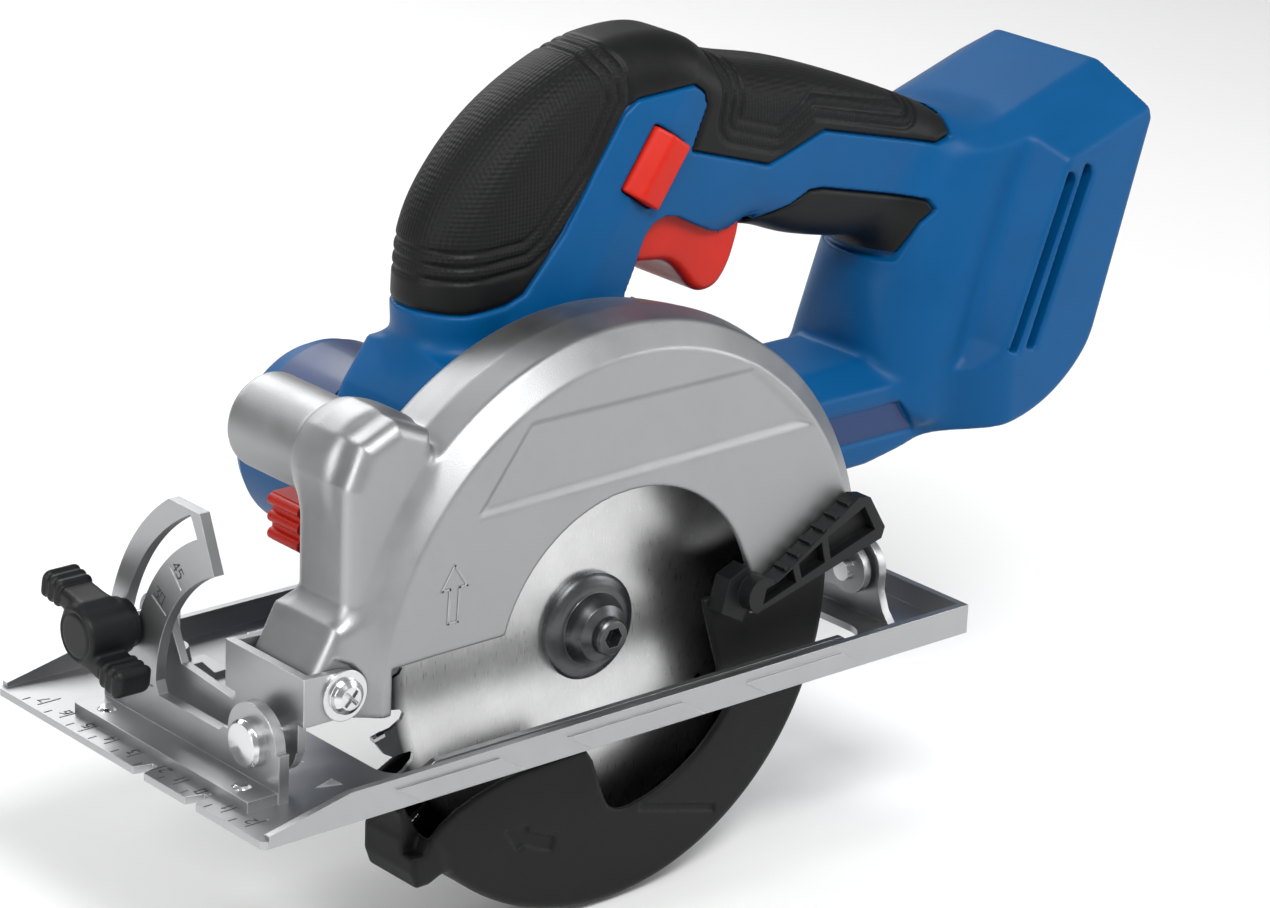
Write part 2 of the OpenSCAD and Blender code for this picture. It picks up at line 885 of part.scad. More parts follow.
// Outer side view of the handle and its front post, grips included
handle_pts = [
  [30, 78], [33, 84], [32.6, 100], [33, 108], [31.4, 120], [26, 132], [17, 143], [5, 152.4], [-9, 159.6],
  [-24, 164.4], [-40, 165.6], [-50, 163], [-59, 157.6], [-70, 153.8], [-90, 149.6], [-112, 142.6],
  [-134, 134], [-152, 126], [-152, 100], [-132, 97], [-112, 97.6], [-92, 101.6], [-78, 106.4],
  [-72, 106], [-46, 106], [-38, 92], [-30, 76], [-20, 70]
];

module handle_2d() {
  polygon(handle_pts);
}

// Centre body that joins the post to the gear case and the low arm
module centre_2d() {
  polygon([[34, 84], [44, 76], [45, 60], [44, 46], [-34, 34], [-46, 38], [-40, 60], [-26, 76]]);
}

module low_arm_2d() {
  polygon([[-30, 34], [-60, 34], [-112, 35], [-128, 38], [-128, 66], [-96, 63], [-60, 62], [-30, 66]]);
}

// Front stretch of the low arm, which passes behind the depth arm
module arm_front_2d() {
  translate([-51, 0]) square([40, 90]);
}

// Side view of the foot with its sloping roof
module foot_2d() {
  polygon([[-117, 58], [-118.6, 70], [-119.4, 83], [-126, 97], [-138, 112], [-150, 126],
    [-164, 128.6], [-188, 136.4], [-194, 138.8], [-196.2, 138.4], [-201, 125], [-183, 61],
    [-175, 52], [-163, 46], [-148, 41.6], [-128, 38], [-112, 38]]);
}

// Plan of the foot: a round neck in front of the wide shoe
module foot_plan_2d() {
  polygon(concat(
    [for (a = [-80:10:80]) [5.6 + 26 * cos(a), 27 * sin(a)]],
    [[5.6, 27], [0, foot_w / 2], [-60, foot_w / 2], [-60, -foot_w / 2], [0, -foot_w / 2], [5.6, -27]]));
}

// Cross-section of the foot with chamfered shoulders
module foot_section_2d() {
  translate([seam_y, 0])
    polygon([[-foot_w / 2, 20], [foot_w / 2, 20], [foot_w / 2, 127], [20, 139.4], [-20, 139.4],
      [-foot_w / 2, 127]]);
}

// Grip areas in the side view
module front_grip_area_2d() {
  polygon([[60, 104], [16, 103], [9, 106], [-27, 148], [-42, 150], [-48, 152], [-51, 148], [-51, 180],
    [60, 180]]);
}

module rear_grip_area_2d() {
  polygon([[-51, 180], [-51, 148], [-47, 137], [-74, 127], [-80, 128], [-93, 133], [-141, 122],
    [-153, 118], [-153, 180]]);
}

module lower_grip_area_2d() {
  polygon([[-76, 80], [-76, 109], [-92, 116], [-131, 108], [-138, 80]]);
}

// Foot that carries the battery; d shrinks it
module foot_solid(d) {
  intersection() {
    side(foot_far + d, foot_near - d)
      offset(delta = -d) foot_2d();
    // the front of the shoe leans like its rear face
    translate([-129, seam_y, 14])
      rotate([0, -19.7, 0])
        linear_extrude(150)
          offset(delta = -d) foot_plan_2d();
    front(-210, -100)
      offset(delta = -d) foot_section_2d();
  }
}

// Solid outside of the housing without its grips; d shrinks it
module housing_solid(d) {
  side(handle_far + grip_t + d, handle_near - grip_t - d)
    offset(delta = -grip_t - d) handle_2d();
  side(handle_far + d, handle_near - d)
    difference() {
      offset(delta = -d) handle_2d();
      offset(delta = d) {
        front_grip_area_2d();
        rear_grip_area_2d();
        lower_grip_area_2d();
      }
    }
  side(arm_far + 4 + d, handle_near - d)
    offset(delta = -d) centre_2d();
  side(arm_far + d, arm_near - d)
    offset(delta = -d)
      difference() {
        low_arm_2d();
        arm_front_2d();
      }
  side(arm_far + d, handle_near - d)
    offset(delta = -d) low_arm_2d();
  foot_solid(d);
}

// Recesses over the screw heads on the motor side
module screw_sinks() {
  for (p = screw_places)
    rod(p[0], p[1], 3.2, -70, screw_head_y);
}

module housing_shell() {
  difference() {
    union() {
      difference() {
        housing_solid(0);
        housing_solid(wall);
      }
      // bosses for the screws
      intersection() {
        housing_solid(wall / 2);
        for (p = screw_places)
          rod(p[0], p[1], 4.6, -70, foot_near);
      }
    }
    screw_sinks();
    // slot for the spindle lock button
    translate([38, -46.5, motor_z - 7]) cube([10, 13.4, 14]);
    // room for the gear case and the motor housing
    side(-47, -10) gear_case_2d(case_wall + gap);
    rod(motor_x, motor_z, 27.5, -100, -45);
    // trigger opening
    translate([-76, seam_y - 8.4, 90]) cube([38.6, 16.8, 40]);
    // lock-off opening, right through
    translate([lock_off_x, 0, lock_off_z])
      rotate([0, lock_off_lean, 0])
        translate([-5.9, -60, -9.9]) cube([11.8, 50, 19.8]);
    // slots for cooling air on both sides of the foot
    for (s = [0, 7.2])
      side(-80, 10)
        polygon([[-176 + s, 116], [-173 + s, 116], [-153 + s, 66], [-156 + s, 66]]);
    // battery interface, open to the rear
    translate([shoe_x, seam_y - 24, shoe_z])
      rotate([0, -shoe_lean, 0])
        translate([-8, 0, -34]) cube([16, 48, 60]);
    for (p = screw_places)
      rod(p[0], p[1], 1.5 + fit, -70, seam_y + 8);
  }
}

module housing_left() {
  color("#0a5c9e")
  difference() {
    housing_shell();
    translate([-300, -200, -50]) cube([500, 200 + seam_y, 300]);
  }
}

module housing_right() {
  color("#0a5c9e")
  difference() {
    housing_shell();
    translate([-300, seam_y, -50]) cube([500, 200, 300]);
  }
}

module housing_screws() {
  color("gray")
  for (p = screw_places)
    difference() {
      union() {
        rod(p[0], p[1], 1.5, screw_head_y - 1, seam_y + 7);
        rod(p[0], p[1], 3, screw_head_y - 2, screw_head_y);
      }
      rod(p[0], p[1], 1.4, screw_head_y - 3, screw_head_y - 1, sides = 6);
    }
}

module grip_core() {
  side(handle_far + grip_t - 0.02, handle_near - grip_t + 0.02)
    offset(delta = 0.02 - grip_t) handle_2d();
}

module grip_piece() {
  difference() {
    side(handle_far, handle_near)
      intersection() {
        handle_2d();
        children();
      }
    grip_core();
    screw_sinks();
    // the grips end at the foot
    foot_solid(0);
  }
}

module front_grip() {
  color("#202224")
  grip_piece() front_grip_area_2d();
}

module rear_grip() {
  color("#202224")
  grip_piece() rear_grip_area_2d();
}

module lower_grip() {
  color("#202224")
  grip_piece() lower_grip_area_2d();
}

// ---- controls ----

module trigger() {
  color("red")
  difference() {
    side(seam_y - 7.8, seam_y + 7.8)
      polygon(concat(arc(trigger_x, trigger_z, 4, 90, -30, 6), [[-39.4, 107], [-44, 103],
        [-49.5, 97], [-55, 94], [-61, 93.6], [-64, 95], [-68.6, 103], [-70, 112], [-66, 116]]));
    rod(trigger_x, trigger_z, 1.6, seam_y - 9, seam_y + 9);
  }
}

module trigger_switch() {
  color("#303234")
  difference() {
    translate([-74, seam_y - 9, 126]) cube([30, 18, 17]);
    translate([-52, seam_y - 10, 125]) cube([9, 20, 4]);
  }
}

module trigger_spring() {
  color("silver")
  rod_spring(-60, 117.4, 3, 8.6);
}

// Plain sleeve that stands for a coil spring along Z
module rod_spring(x, z, r, h) {
  translate([x, seam_y, z])
    difference() {
      cylinder(r = r, h = h, $fn = 32);
      translate([0, 0, -1]) cylinder(r = r - 0.8, h = h + 2, $fn = 32);
    }
}

module lock_off_button() {
  color("red")
  translate([lock_off_x, 0, lock_off_z])
    rotate([0, lock_off_lean, 0])
      translate([-5.5, handle_far - 2.4, -9.5]) cube([11, handle_w + 4.8, 19]);
}

module spindle_lock_button() {
  color("red")
  union() {
    translate([46, -46.2, motor_z - 6.6]) cube([button_end - 46, 12.8, 13.2]);
    for (i = [0:2])
      translate([button_end, -39.8, motor_z - 4.6 + 4.6 * i])
        rotate([90, 0, 0]) cylinder(r = 1.6, h = 12.8, center = true, $fn = 32);
  }
}

module spindle_lock_plate() {
  color("silver")
  difference() {
    translate([20, -39, motor_z - 5]) cube([26, 2, 10]);
    // fork that slides over the flats of the motor shaft
    translate([19, -40, motor_z - 3.5]) cube([7.5, 4, 7]);
  }
}

// ---- lower guard ----

// Sector that the lower guard covers
module guard_sweep_2d() {
  polygon(concat([[0, 0]], arc(0, 0, 120, -26, -188, 40)));
}

module lower_guard() {
  color("#1c1d1f")
  difference() {
    union() {
      // far wall with its hub
      side(lower_far_y, lower_far_y + lower_wall)
        union() {
          translate([0, arbor_z])
            intersection() {
              circle(r = lower_r);
              guard_sweep_2d();
            }
          translate([0, arbor_z]) circle(r = 21);
        }
      // rim
      translate([0, 0, arbor_z]) {
        intersection() {
          difference() {
            rod(0, 0, lower_r, lower_far_y, lower_near_y);
            rod(0, 0, lower_r - 2.4, lower_far_y - 1, lower_near_y + 1);
          }
          side(-30, 30) guard_sweep_2d();
        }
      }
      // near wall
      side(lower_near_y - lower_wall, lower_near_y)
        difference() {
          translate([0, arbor_z])
            intersection() {
              circle(r = lower_r);
              guard_sweep_2d();
            }
          near_opening_2d();
        }
      // nose
      side(-7, lower_near_y)
        polygon([[57, -30.5], [63.4, -33.6], [65.2, -27], [64.6, -18], [61, -20], [58.5, -26]]);
    }
    rod(0, arbor_z, neck_r + fit, -12, -5);
    // depth mark and arrow in the near wall
    side(lower_near_y - 0.7, lower_near_y + 1)
      polygon([[-10, -33], [-30, -27.6], [-30, -26.2], [-10, -31.6]]);
    side(lower_near_y - 0.7, lower_near_y + 1)
      polygon([[37, -32], [31, -27], [31, -29.6], [20, -34], [20, -38], [31, -34.4], [32, -36]]);
  }
}

// Part of the near wall that is open: the front, the blade window and the hub area
module near_opening_2d() {
  polygon(concat(
    [[61.6, -25], [60, -21.6], [56.4, -18.2], [51.6, -15.4], [44.8, -13], [37, -11],
      [30, -10.2], [9, -9.5], [3.6, -24]],
    arc(0, arbor_z, 49, -88, -146, 14),
    [[-31, 17], [-29, 24], [0, 60], [100, 60], [100, -25]]));
}

module guard_lever() {
  color("#1c1d1f")
  union() {
    // neck that passes through the opening of the upper guard
    side(lower_near_y, 19.6)
      polygon([[-30.5, 21], [-33, 30], [-39, 32.4], [-41.2, 24], [-38, 17]]);
    // bar with three pockets
    difference() {
      side(18.6, 24)
        polygon(concat(arc(-41, 25, 5, -66, 150, 10), [[-74, 45.4], [-78, 44.6], [-84, 35], [-83, 32]]));
      side(21, 25)
        polygon([[-41, 22.6], [-52.6, 26.2], [-51, 30.4], [-45.6, 27.6], [-42, 26.8]]);
      side(21, 25)
        polygon([[-54.4, 27], [-62.6, 29.6], [-61, 35.6], [-53, 31.4]]);
      side(21, 25)
        polygon([[-64.6, 30.2], [-80.4, 35], [-76, 42.4], [-63, 36.6]]);
    }
    // ribs for the finger
    for (i = [0:5])
      translate([-50.5 - 4.3 * i, 19.2, 29.8 + 2.68 * i])
        rotate([0, 30, 0]) cube([1.4, 4.4, 2]);
  }
}

// Flat coil that returns the lower guard, seated on the retaining ring
module guard_spring() {
  color("silver")
  difference() {
    rod(0, arbor_z, 19.2, -6.3, -5.1);
    rod(0, arbor_z, 15, -7, -4);
  }
}

// ---- depth clamp ----

module depth_bolt() {
  color("gray") {
    rod(clamp_x, clamp_z, bolt_r, -27.4, -9.9);
    rod(clamp_x, clamp_z, 4.6, -14, -12);
  }
}

module depth_lever() {
  color("#202224")
  difference() {
    union() {
      rod(clamp_x, clamp_z, 6.5, -26, -17);
      side(-25, -19)
        polygon([[clamp_x - 4, clamp_z + 4], [clamp_x - 30, clamp_z + 7], [clamp_x - 32, clamp_z + 2],
          [clamp_x - 30, clamp_z - 1], [clamp_x - 4, clamp_z - 5]]);
    }
    rod(clamp_x, clamp_z, bolt_r + fit, -28, -15);
  }
}

// ---- electronics ----

module control_board() {
  color("darkgreen")
  translate([-146, seam_y, 56])
    rotate([0, -17, 0])
      union() {
        translate([0, -21, 0]) cube([1.6, 42, 46]);
        for (i = [0:2])
          translate([1, 13 * i - 17.5, 8]) cube([6, 9, 9]);
      }
}

module terminal_block() {
  color("#303234")
  translate([shoe_x, seam_y, shoe_z])
    rotate([0, -shoe_lean, 0])
      union() {
        translate([1, -23.6, -33.6]) cube([5, 47.2, 59.2]);
        // rim behind the wall of the foot
        translate([4.2, -26, -36]) cube([1.8, 52, 64]);
        // rails that guide the battery
        for (s = [-1, 1])
          translate([-5, s * 20.4 - 1.6, -33]) cube([8, 3.2, 52]);
        for (i = [-2:2])
          translate([-4, 6 * i - 0.5, -8]) cube([6, 1, 16]);
      }
}

base_plate();
bevel_bracket();
bracket_rivets();
front_pivot_pin();
rear_pivot_pin();
fence_boss();
front_yoke();
depth_arm();
pivot_screw();
pivot_nut();
bevel_bolt();
bevel_knob();
upper_guard();
dust_spout();
gear_case();
gear_cover();
guard_retainer();
spindle_bearings();
arbor();
drive_gear();
inner_flange();
saw_blade();
carbide_tips();
outer_flange();
blade_bolt();
idler_shaft();
idler_gears();
rotor_shaft();
rotor_core();
fan();
stator();
motor_bearings();
motor_housing();
rating_plate();
housing_left();
housing_right();
housing_screws();
front_grip();
rear_grip();
lower_grip();
trigger();
trigger_switch();
trigger_spring();
lock_off_button();
spindle_lock_button();
spindle_lock_plate();
lower_guard();
guard_lever();
guard_spring();
depth_bolt();
depth_lever();
control_board();
terminal_block();
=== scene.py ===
# Looks for the compact circular saw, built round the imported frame.
import math
import bpy
import bmesh
import numpy as np
from mathutils import Matrix, Vector
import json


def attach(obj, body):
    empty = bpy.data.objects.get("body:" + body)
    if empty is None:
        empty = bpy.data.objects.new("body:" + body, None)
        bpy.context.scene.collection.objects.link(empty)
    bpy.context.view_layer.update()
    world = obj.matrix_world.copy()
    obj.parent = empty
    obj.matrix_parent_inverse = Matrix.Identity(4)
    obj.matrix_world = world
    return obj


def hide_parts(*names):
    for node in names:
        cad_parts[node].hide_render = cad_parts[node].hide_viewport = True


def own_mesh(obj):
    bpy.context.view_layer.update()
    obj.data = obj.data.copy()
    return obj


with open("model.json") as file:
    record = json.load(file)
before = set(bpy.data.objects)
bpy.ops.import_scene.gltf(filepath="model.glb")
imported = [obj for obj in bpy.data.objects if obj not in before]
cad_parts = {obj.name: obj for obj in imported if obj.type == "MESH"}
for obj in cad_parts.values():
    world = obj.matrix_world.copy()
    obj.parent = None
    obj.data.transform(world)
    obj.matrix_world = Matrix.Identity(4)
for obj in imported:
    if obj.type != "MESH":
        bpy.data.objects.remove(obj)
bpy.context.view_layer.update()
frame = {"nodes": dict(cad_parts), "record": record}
MM = 0.001

# places in the saw's frame, in millimetres; pairs are (x, z) in the side view
SEAM = -35.0
ARBOR_Z = 19.0
MOTOR = (19.0, 49.0)
PIVOT = (89.0, 26.5)
TUBE = (70.5, 77.0)
CLAMP = (-41.98, 24.21)
LOCK_OFF = (-34.0, 132.0)
LOCK_OFF_LEAN = 34.0
SHOE = (-194.4, 96.0)
SHOE_LEAN = 15.7
BEVEL_Y, BEVEL_Z = 3.6, 14.8
PLATE_FRONT, PLATE_TOP = 123.6, 2.0
GUARD_FACE = 18.0
SCREWS = ((24, 96), (-18, 152), (-100, 140), (-140, 108), (-120, 48), (-60, 44))

# ------------------------------------------------------------------ materials


def new_mat(name):
    m = bpy.data.materials.new(name)
    m.use_nodes = True
    nt = m.node_tree
    bsdf = nt.nodes["Principled BSDF"]
    return m, nt, bsdf


def put(nt, kind, **inputs):
    n = nt.nodes.new(kind)
    for k, v in inputs.items():
        n.inputs[k].default_value = v
    return n


def math_node(nt, op, a, b=None):
    n = nt.nodes.new("ShaderNodeMath")
    n.operation = op
    for i, v in enumerate((a, b)):
        if v is None:
            continue
        if isinstance(v, (int, float)):
            n.inputs[i].default_value = v
        else:
            nt.links.new(v, n.inputs[i])
    return n.outputs[0]


def ramp(nt, fac, stops):
    n = nt.nodes.new("ShaderNodeValToRGB")
    n.color_ramp.elements[0].position = stops[0][0]
    n.color_ramp.elements[1].position = stops[-1][0]
    for s in stops[1:-1]:
        n.color_ramp.elements.new(s[0])
    for e, s in zip(sorted(n.color_ramp.elements, key=lambda q: q.position), stops):
        c = s[1]
        e.color = (c, c, c, 1) if isinstance(c, (int, float)) else (*c, 1)
    nt.links.new(fac, n.inputs["Fac"])
    return n.outputs["Color"]


def mix(nt, fac, a, b, mode="MIX"):
    n = nt.nodes.new("ShaderNodeMix")
    n.data_type = "RGBA"
    n.blend_type = mode
    for sock, v in ((n.inputs[0], fac), (n.inputs[6], a), (n.inputs[7], b)):
        if isinstance(v, (int, float)):
            sock.default_value = v
        elif isinstance(v, tuple):
            sock.default_value = (*v, 1) if len(v) == 3 else v
        else:
            nt.links.new(v, sock)
    return n.outputs[2]


def object_coords(nt, scale=(1, 1, 1)):
    tc = nt.nodes.new("ShaderNodeTexCoord")
    mp = put(nt, "ShaderNodeMapping", Scale=scale)
    nt.links.new(tc.outputs["Object"], mp.inputs["Vector"])
    return mp.outputs["Vector"]


def noise(nt, vec, scale, detail=3.0, rough=0.55):
    n = put(nt, "ShaderNodeTexNoise", Scale=scale, Detail=detail, Roughness=rough)
    nt.links.new(vec, n.inputs["Vector"])
    return n.outputs["Fac"]


def bump(nt, height, strength, distance, bsdf=None, normal=None):
    n = put(nt, "ShaderNodeBump", Strength=strength, Distance=distance)
    nt.links.new(height, n.inputs["Height"])
    if normal is not None:
        nt.links.new(normal, n.inputs["Normal"])
    if bsdf is not None:
        nt.links.new(n.outputs["Normal"], bsdf.inputs["Normal"])
    return n.outputs["Normal"]


def surface(name, color, rough, metal=0.0, grain=1500.0, grain_bump=0.25, depth=0.00006, blotch=45.0,
            blotch_amt=0.12, rough_amt=0.08, coat=0.0, spec=0.5, wear=0.0, wear_color=(0.8, 0.8, 0.8),
            stretch=(1, 1, 1), fillet=0.3):
    """Fine grain, soft blotches in colour and gloss, edges rounded in the shading and worn by the amount wear."""
    m, nt, b = new_mat(name)
    vec = object_coords(nt, stretch)
    fine = noise(nt, vec, grain, 4.0)
    big = noise(nt, vec, blotch, 3.0)
    dark = tuple(c * (1 - blotch_amt) for c in color)
    light = tuple(min(1.0, c * (1 + blotch_amt)) for c in color)
    col = ramp(nt, big, [(0.3, dark), (0.7, light)])
    soft = put(nt, "ShaderNodeBevel", Radius=fillet * MM)
    soft.samples = 6
    if wear:
        geo = nt.nodes.new("ShaderNodeNewGeometry")
        dot = nt.nodes.new("ShaderNodeVectorMath")
        dot.operation = "DOT_PRODUCT"
        nt.links.new(soft.outputs["Normal"], dot.inputs[0])
        nt.links.new(geo.outputs["Normal"], dot.inputs[1])
        edge = ramp(nt, dot.outputs["Value"], [(0.86, 1.0), (0.985, 0.0)])
        grit = ramp(nt, noise(nt, vec, 260.0), [(0.35, 0.3), (0.65, 1.0)])
        amt = math_node(nt, "MULTIPLY", math_node(nt, "MULTIPLY", edge, grit), wear)
        col = mix(nt, amt, col, wear_color)
    nt.links.new(col, b.inputs["Base Color"])
    rr = ramp(nt, big, [(0.3, max(0.0, rough - rough_amt)), (0.7, min(1.0, rough + rough_amt))])
    nt.links.new(rr, b.inputs["Roughness"])
    bump(nt, fine, grain_bump, depth, b, soft.outputs["Normal"])
    b.inputs["Metallic"].default_value = metal
    b.inputs["Specular IOR Level"].default_value = spec
    if coat:
        b.inputs["Coat Weight"].default_value = coat
        b.inputs["Coat Roughness"].default_value = 0.12
    return m


BLUE = (0.0, 0.07, 0.208)
M = {}
M["plate_metal"] = surface("plate_metal", (0.42, 0.425, 0.43), 0.4, 1.0, grain=1400, grain_bump=0.35,
                           blotch=70, blotch_amt=0.03, wear=0.5, wear_color=(0.8, 0.8, 0.8), rough_amt=0.025)
M["cast_metal"] = surface("cast_metal", (0.36, 0.363, 0.368), 0.46, 1.0, grain=2600, grain_bump=0.55,
                          depth=0.00008, blotch=60, blotch_amt=0.04, wear=0.7, wear_color=(0.9, 0.9, 0.9),
                          rough_amt=0.05)
M["yoke_metal"] = surface("yoke_metal", (0.42, 0.425, 0.43), 0.42, 1.0, grain=1800, grain_bump=0.6,
                          depth=0.00008, blotch=90, blotch_amt=0.03, wear=0.8, wear_color=(0.95, 0.95, 0.95),
                          rough_amt=0.025)
M["bright_steel"] = surface("bright_steel", (0.66, 0.665, 0.67), 0.2, 1.0, grain=900, grain_bump=0.12,
                            blotch=120, blotch_amt=0.06, rough_amt=0.07)
M["dark_steel"] = surface("dark_steel", (0.10, 0.105, 0.11), 0.34, 0.85, grain=1600, grain_bump=0.3,
                          blotch=150, blotch_amt=0.15, wear=0.6, wear_color=(0.45, 0.45, 0.46))
M["carbide"] = surface("carbide", (0.42, 0.42, 0.43), 0.26, 1.0, grain=2200, grain_bump=0.2, blotch=300)
M["black_plastic"] = surface("black_plastic", (0.006, 0.0063, 0.007), 0.46, 0.0, grain=2400, grain_bump=0.5,
                             depth=0.00007, blotch=80, blotch_amt=0.12, rough_amt=0.06, spec=0.26)
M["guard_plastic"] = surface("guard_plastic", (0.006, 0.0062, 0.0068), 0.5, 0.0, grain=3000, grain_bump=0.7,
                             depth=0.00008, blotch=70, blotch_amt=0.12, rough_amt=0.05, spec=0.2)
M["blue_plastic"] = surface("blue_plastic", BLUE, 0.42, 0.0, grain=3000, grain_bump=0.55, depth=0.00007,
                            blotch=50, blotch_amt=0.05, rough_amt=0.04, wear=0.35,
                            wear_color=(0.03, 0.18, 0.44), spec=0.17)
M["red_plastic"] = surface("red_plastic", (0.5, 0.015, 0.006), 0.38, 0.0, grain=2600, grain_bump=0.4,
                           depth=0.00006, blotch=90, blotch_amt=0.06, rough_amt=0.05, wear=0.2,
                           wear_color=(0.8, 0.14, 0.08), spec=0.22)
M["label_film"] = surface("label_film", (0.006, 0.03, 0.115), 0.36, 0.0, grain=700, grain_bump=0.06,
                          blotch=40, blotch_amt=0.1, coat=0.1, spec=0.3)
M["copper_winding"] = surface("copper_winding", (0.52, 0.22, 0.1), 0.35, 0.9, grain=900, grain_bump=0.9,
                              depth=0.0002, stretch=(1, 8, 1), blotch=200, blotch_amt=0.2)
M["circuit_board"] = surface("circuit_board", (0.015, 0.1, 0.04), 0.4, 0.0, grain=700, blotch=300, blotch_amt=0.4)


def grip_material(name):
    """Soft black rubber; attribute 'tex' switches a fine raised grid on."""
    m, nt, b = new_mat(name)
    vec = object_coords(nt)
    sep = nt.nodes.new("ShaderNodeSeparateXYZ")
    nt.links.new(vec, sep.inputs[0])
    grid_step = 0.00115
    k = 2 * math.pi / grid_step
    waves = [math_node(nt, "COSINE", math_node(nt, "MULTIPLY", sep.outputs[i], k)) for i in range(3)]
    lattice = math_node(nt, "ADD", math_node(nt, "ADD", waves[0], waves[1]), waves[2])
    att = nt.nodes.new("ShaderNodeAttribute")
    att.attribute_name = "tex"
    grid = math_node(nt, "MULTIPLY", lattice, att.outputs["Fac"])
    fine = noise(nt, vec, 3000.0, 3.0)
    height = math_node(nt, "ADD", math_node(nt, "MULTIPLY", grid, 0.2),
                       math_node(nt, "MULTIPLY", fine, 0.35))
    bump(nt, height, 0.8, 0.00018, b)
    big = noise(nt, vec, 60.0)
    base = ramp(nt, big, [(0.3, (0.004, 0.0042, 0.0045)), (0.7, (0.0065, 0.0067, 0.007))])
    nt.links.new(base, b.inputs["Base Color"])
    rr = math_node(nt, "ADD", math_node(nt, "MULTIPLY", att.outputs["Fac"], 0.1),
                   ramp(nt, big, [(0.3, 0.4), (0.7, 0.5)]))
    nt.links.new(rr, b.inputs["Roughness"])
    b.inputs["Specular IOR Level"].default_value = 0.19
    return m


M["grip_rubber"] = grip_material("grip_rubber")


def blade_material(name):
    """Ground steel turned round the arbor, a darker ground rim and faint scorch."""
    m, nt, b = new_mat(name)
    vec = object_coords(nt)
    sep = nt.nodes.new("ShaderNodeSeparateXYZ")
    nt.links.new(vec, sep.inputs[0])
    x = sep.outputs[0]
    z = math_node(nt, "SUBTRACT", sep.outputs[2], ARBOR_Z * MM)
    r = math_node(nt, "SQRT", math_node(nt, "ADD", math_node(nt, "MULTIPLY", x, x),
                                        math_node(nt, "MULTIPLY", z, z)))
    comb = nt.nodes.new("ShaderNodeCombineXYZ")
    nt.links.new(r, comb.inputs[0])
    ang = math_node(nt, "ARCTAN2", z, x)
    nt.links.new(math_node(nt, "MULTIPLY", ang, 0.0016), comb.inputs[1])
    rings = noise(nt, comb.outputs[0], 9000.0, 2.0)
    brush = noise(nt, object_coords(nt, (3500, 1, 260)), 1.0, 3.0)
    cloud = noise(nt, vec, 55.0, 4.0)
    rim = ramp(nt, r, [(0.0595, 0.0), (0.06, 1.0)])
    body = ramp(nt, cloud, [(0.3, (0.62, 0.62, 0.625)), (0.7, (0.78, 0.78, 0.78))])
    streak = mix(nt, 0.16, body, ramp(nt, brush, [(0.3, 0.3), (0.7, 0.8)]))
    col = mix(nt, rim, streak, ramp(nt, cloud, [(0.3, (0.035, 0.036, 0.038)), (0.7, (0.06, 0.062, 0.065))]))
    nt.links.new(col, b.inputs["Base Color"])
    rr = ramp(nt, brush, [(0.25, 0.24), (0.75, 0.42)])
    nt.links.new(rr, b.inputs["Roughness"])
    h = math_node(nt, "ADD", math_node(nt, "MULTIPLY", rings, 0.4), math_node(nt, "MULTIPLY", brush, 0.6))
    bump(nt, h, 0.22, 0.00006, b)
    b.inputs["Metallic"].default_value = 1.0
    return m


M["blade_steel"] = blade_material("blade_steel")

slot_of = {s["node"]: s["material_slot"] for s in frame["record"]["subparts"]}
special = {"front_yoke": "yoke_metal", "depth_arm": "yoke_metal", "lower_guard": "guard_plastic"}


def paint(obj, mat):
    obj.data.materials.clear()
    obj.data.materials.append(mat)


for name, obj in frame["nodes"].items():
    paint(obj, M[special.get(name, slot_of[name])])
    for p in obj.data.polygons:
        p.use_smooth = True
    weld = obj.modifiers.new("weld", "WELD")
    weld.merge_threshold = 0.000004
    cut = obj.modifiers.new("split", "EDGE_SPLIT")
    cut.use_edge_angle = True
    cut.use_edge_sharp = False
    cut.split_angle = math.radians(24)
    wn = obj.modifiers.new("normals", "WEIGHTED_NORMAL")
    wn.weight = 50

# ------------------------------------------------------------------ implicit shapes (millimetres)


def poly_sd(x, z, pts):
    """Signed distance to a closed outline in the side view, negative inside."""
    p = np.array(pts, dtype=np.float32)
    q = np.roll(p, -1, axis=0)
    best = np.full(np.broadcast(x, z).shape, 1e9, dtype=np.float32)
    inside = np.zeros(best.shape, dtype=bool)
    for (ax, az), (bx, bz) in zip(p, q):
        ex, ez = bx - ax, bz - az
        wx, wz = x - ax, z - az
        t = np.clip((wx * ex + wz * ez) / (ex * ex + ez * ez + 1e-9), 0, 1)
        dx, dz = wx - t * ex, wz - t * ez
        best = np.minimum(best, dx * dx + dz * dz)
        if az != bz:
            cross = ((az > z) != (bz > z)) & (x < (bx - ax) * (z - az) / (bz - az) + ax)
            inside ^= cross
    d = np.sqrt(best)
    return np.where(inside, -d, d)


def spline(pts, n=6, closed=True):
    """Smooth outline through the points."""
    p = np.array(pts, float)
    m = len(p)
    out = []
    for i in range(m if closed else m - 1):
        if closed:
            a, b, c, d = p[i - 1], p[i], p[(i + 1) % m], p[(i + 2) % m]
        else:
            a, b, c, d = p[max(i - 1, 0)], p[i], p[i + 1], p[min(i + 2, m - 1)]
        for k in range(n):
            t = k / n
            out.append(0.5 * ((2 * b) + (c - a) * t + (2 * a - 5 * b + 4 * c - d) * t * t
                              + (3 * b - a - 3 * c + d) * t ** 3))
    return out


def smin(a, b, k):
    h = np.clip(0.5 + 0.5 * (b - a) / k, 0, 1)
    return b * (1 - h) + a * h - k * h * (1 - h)


def smax(a, b, k):
    return -smin(-a, -b, k)


def rounded(d2, dy, r):
    """Extrusion with edges of radius r."""
    a, b = d2 + r, dy + r
    return np.minimum(np.maximum(a, b), 0) + np.sqrt(np.maximum(a, 0) ** 2 + np.maximum(b, 0) ** 2) - r


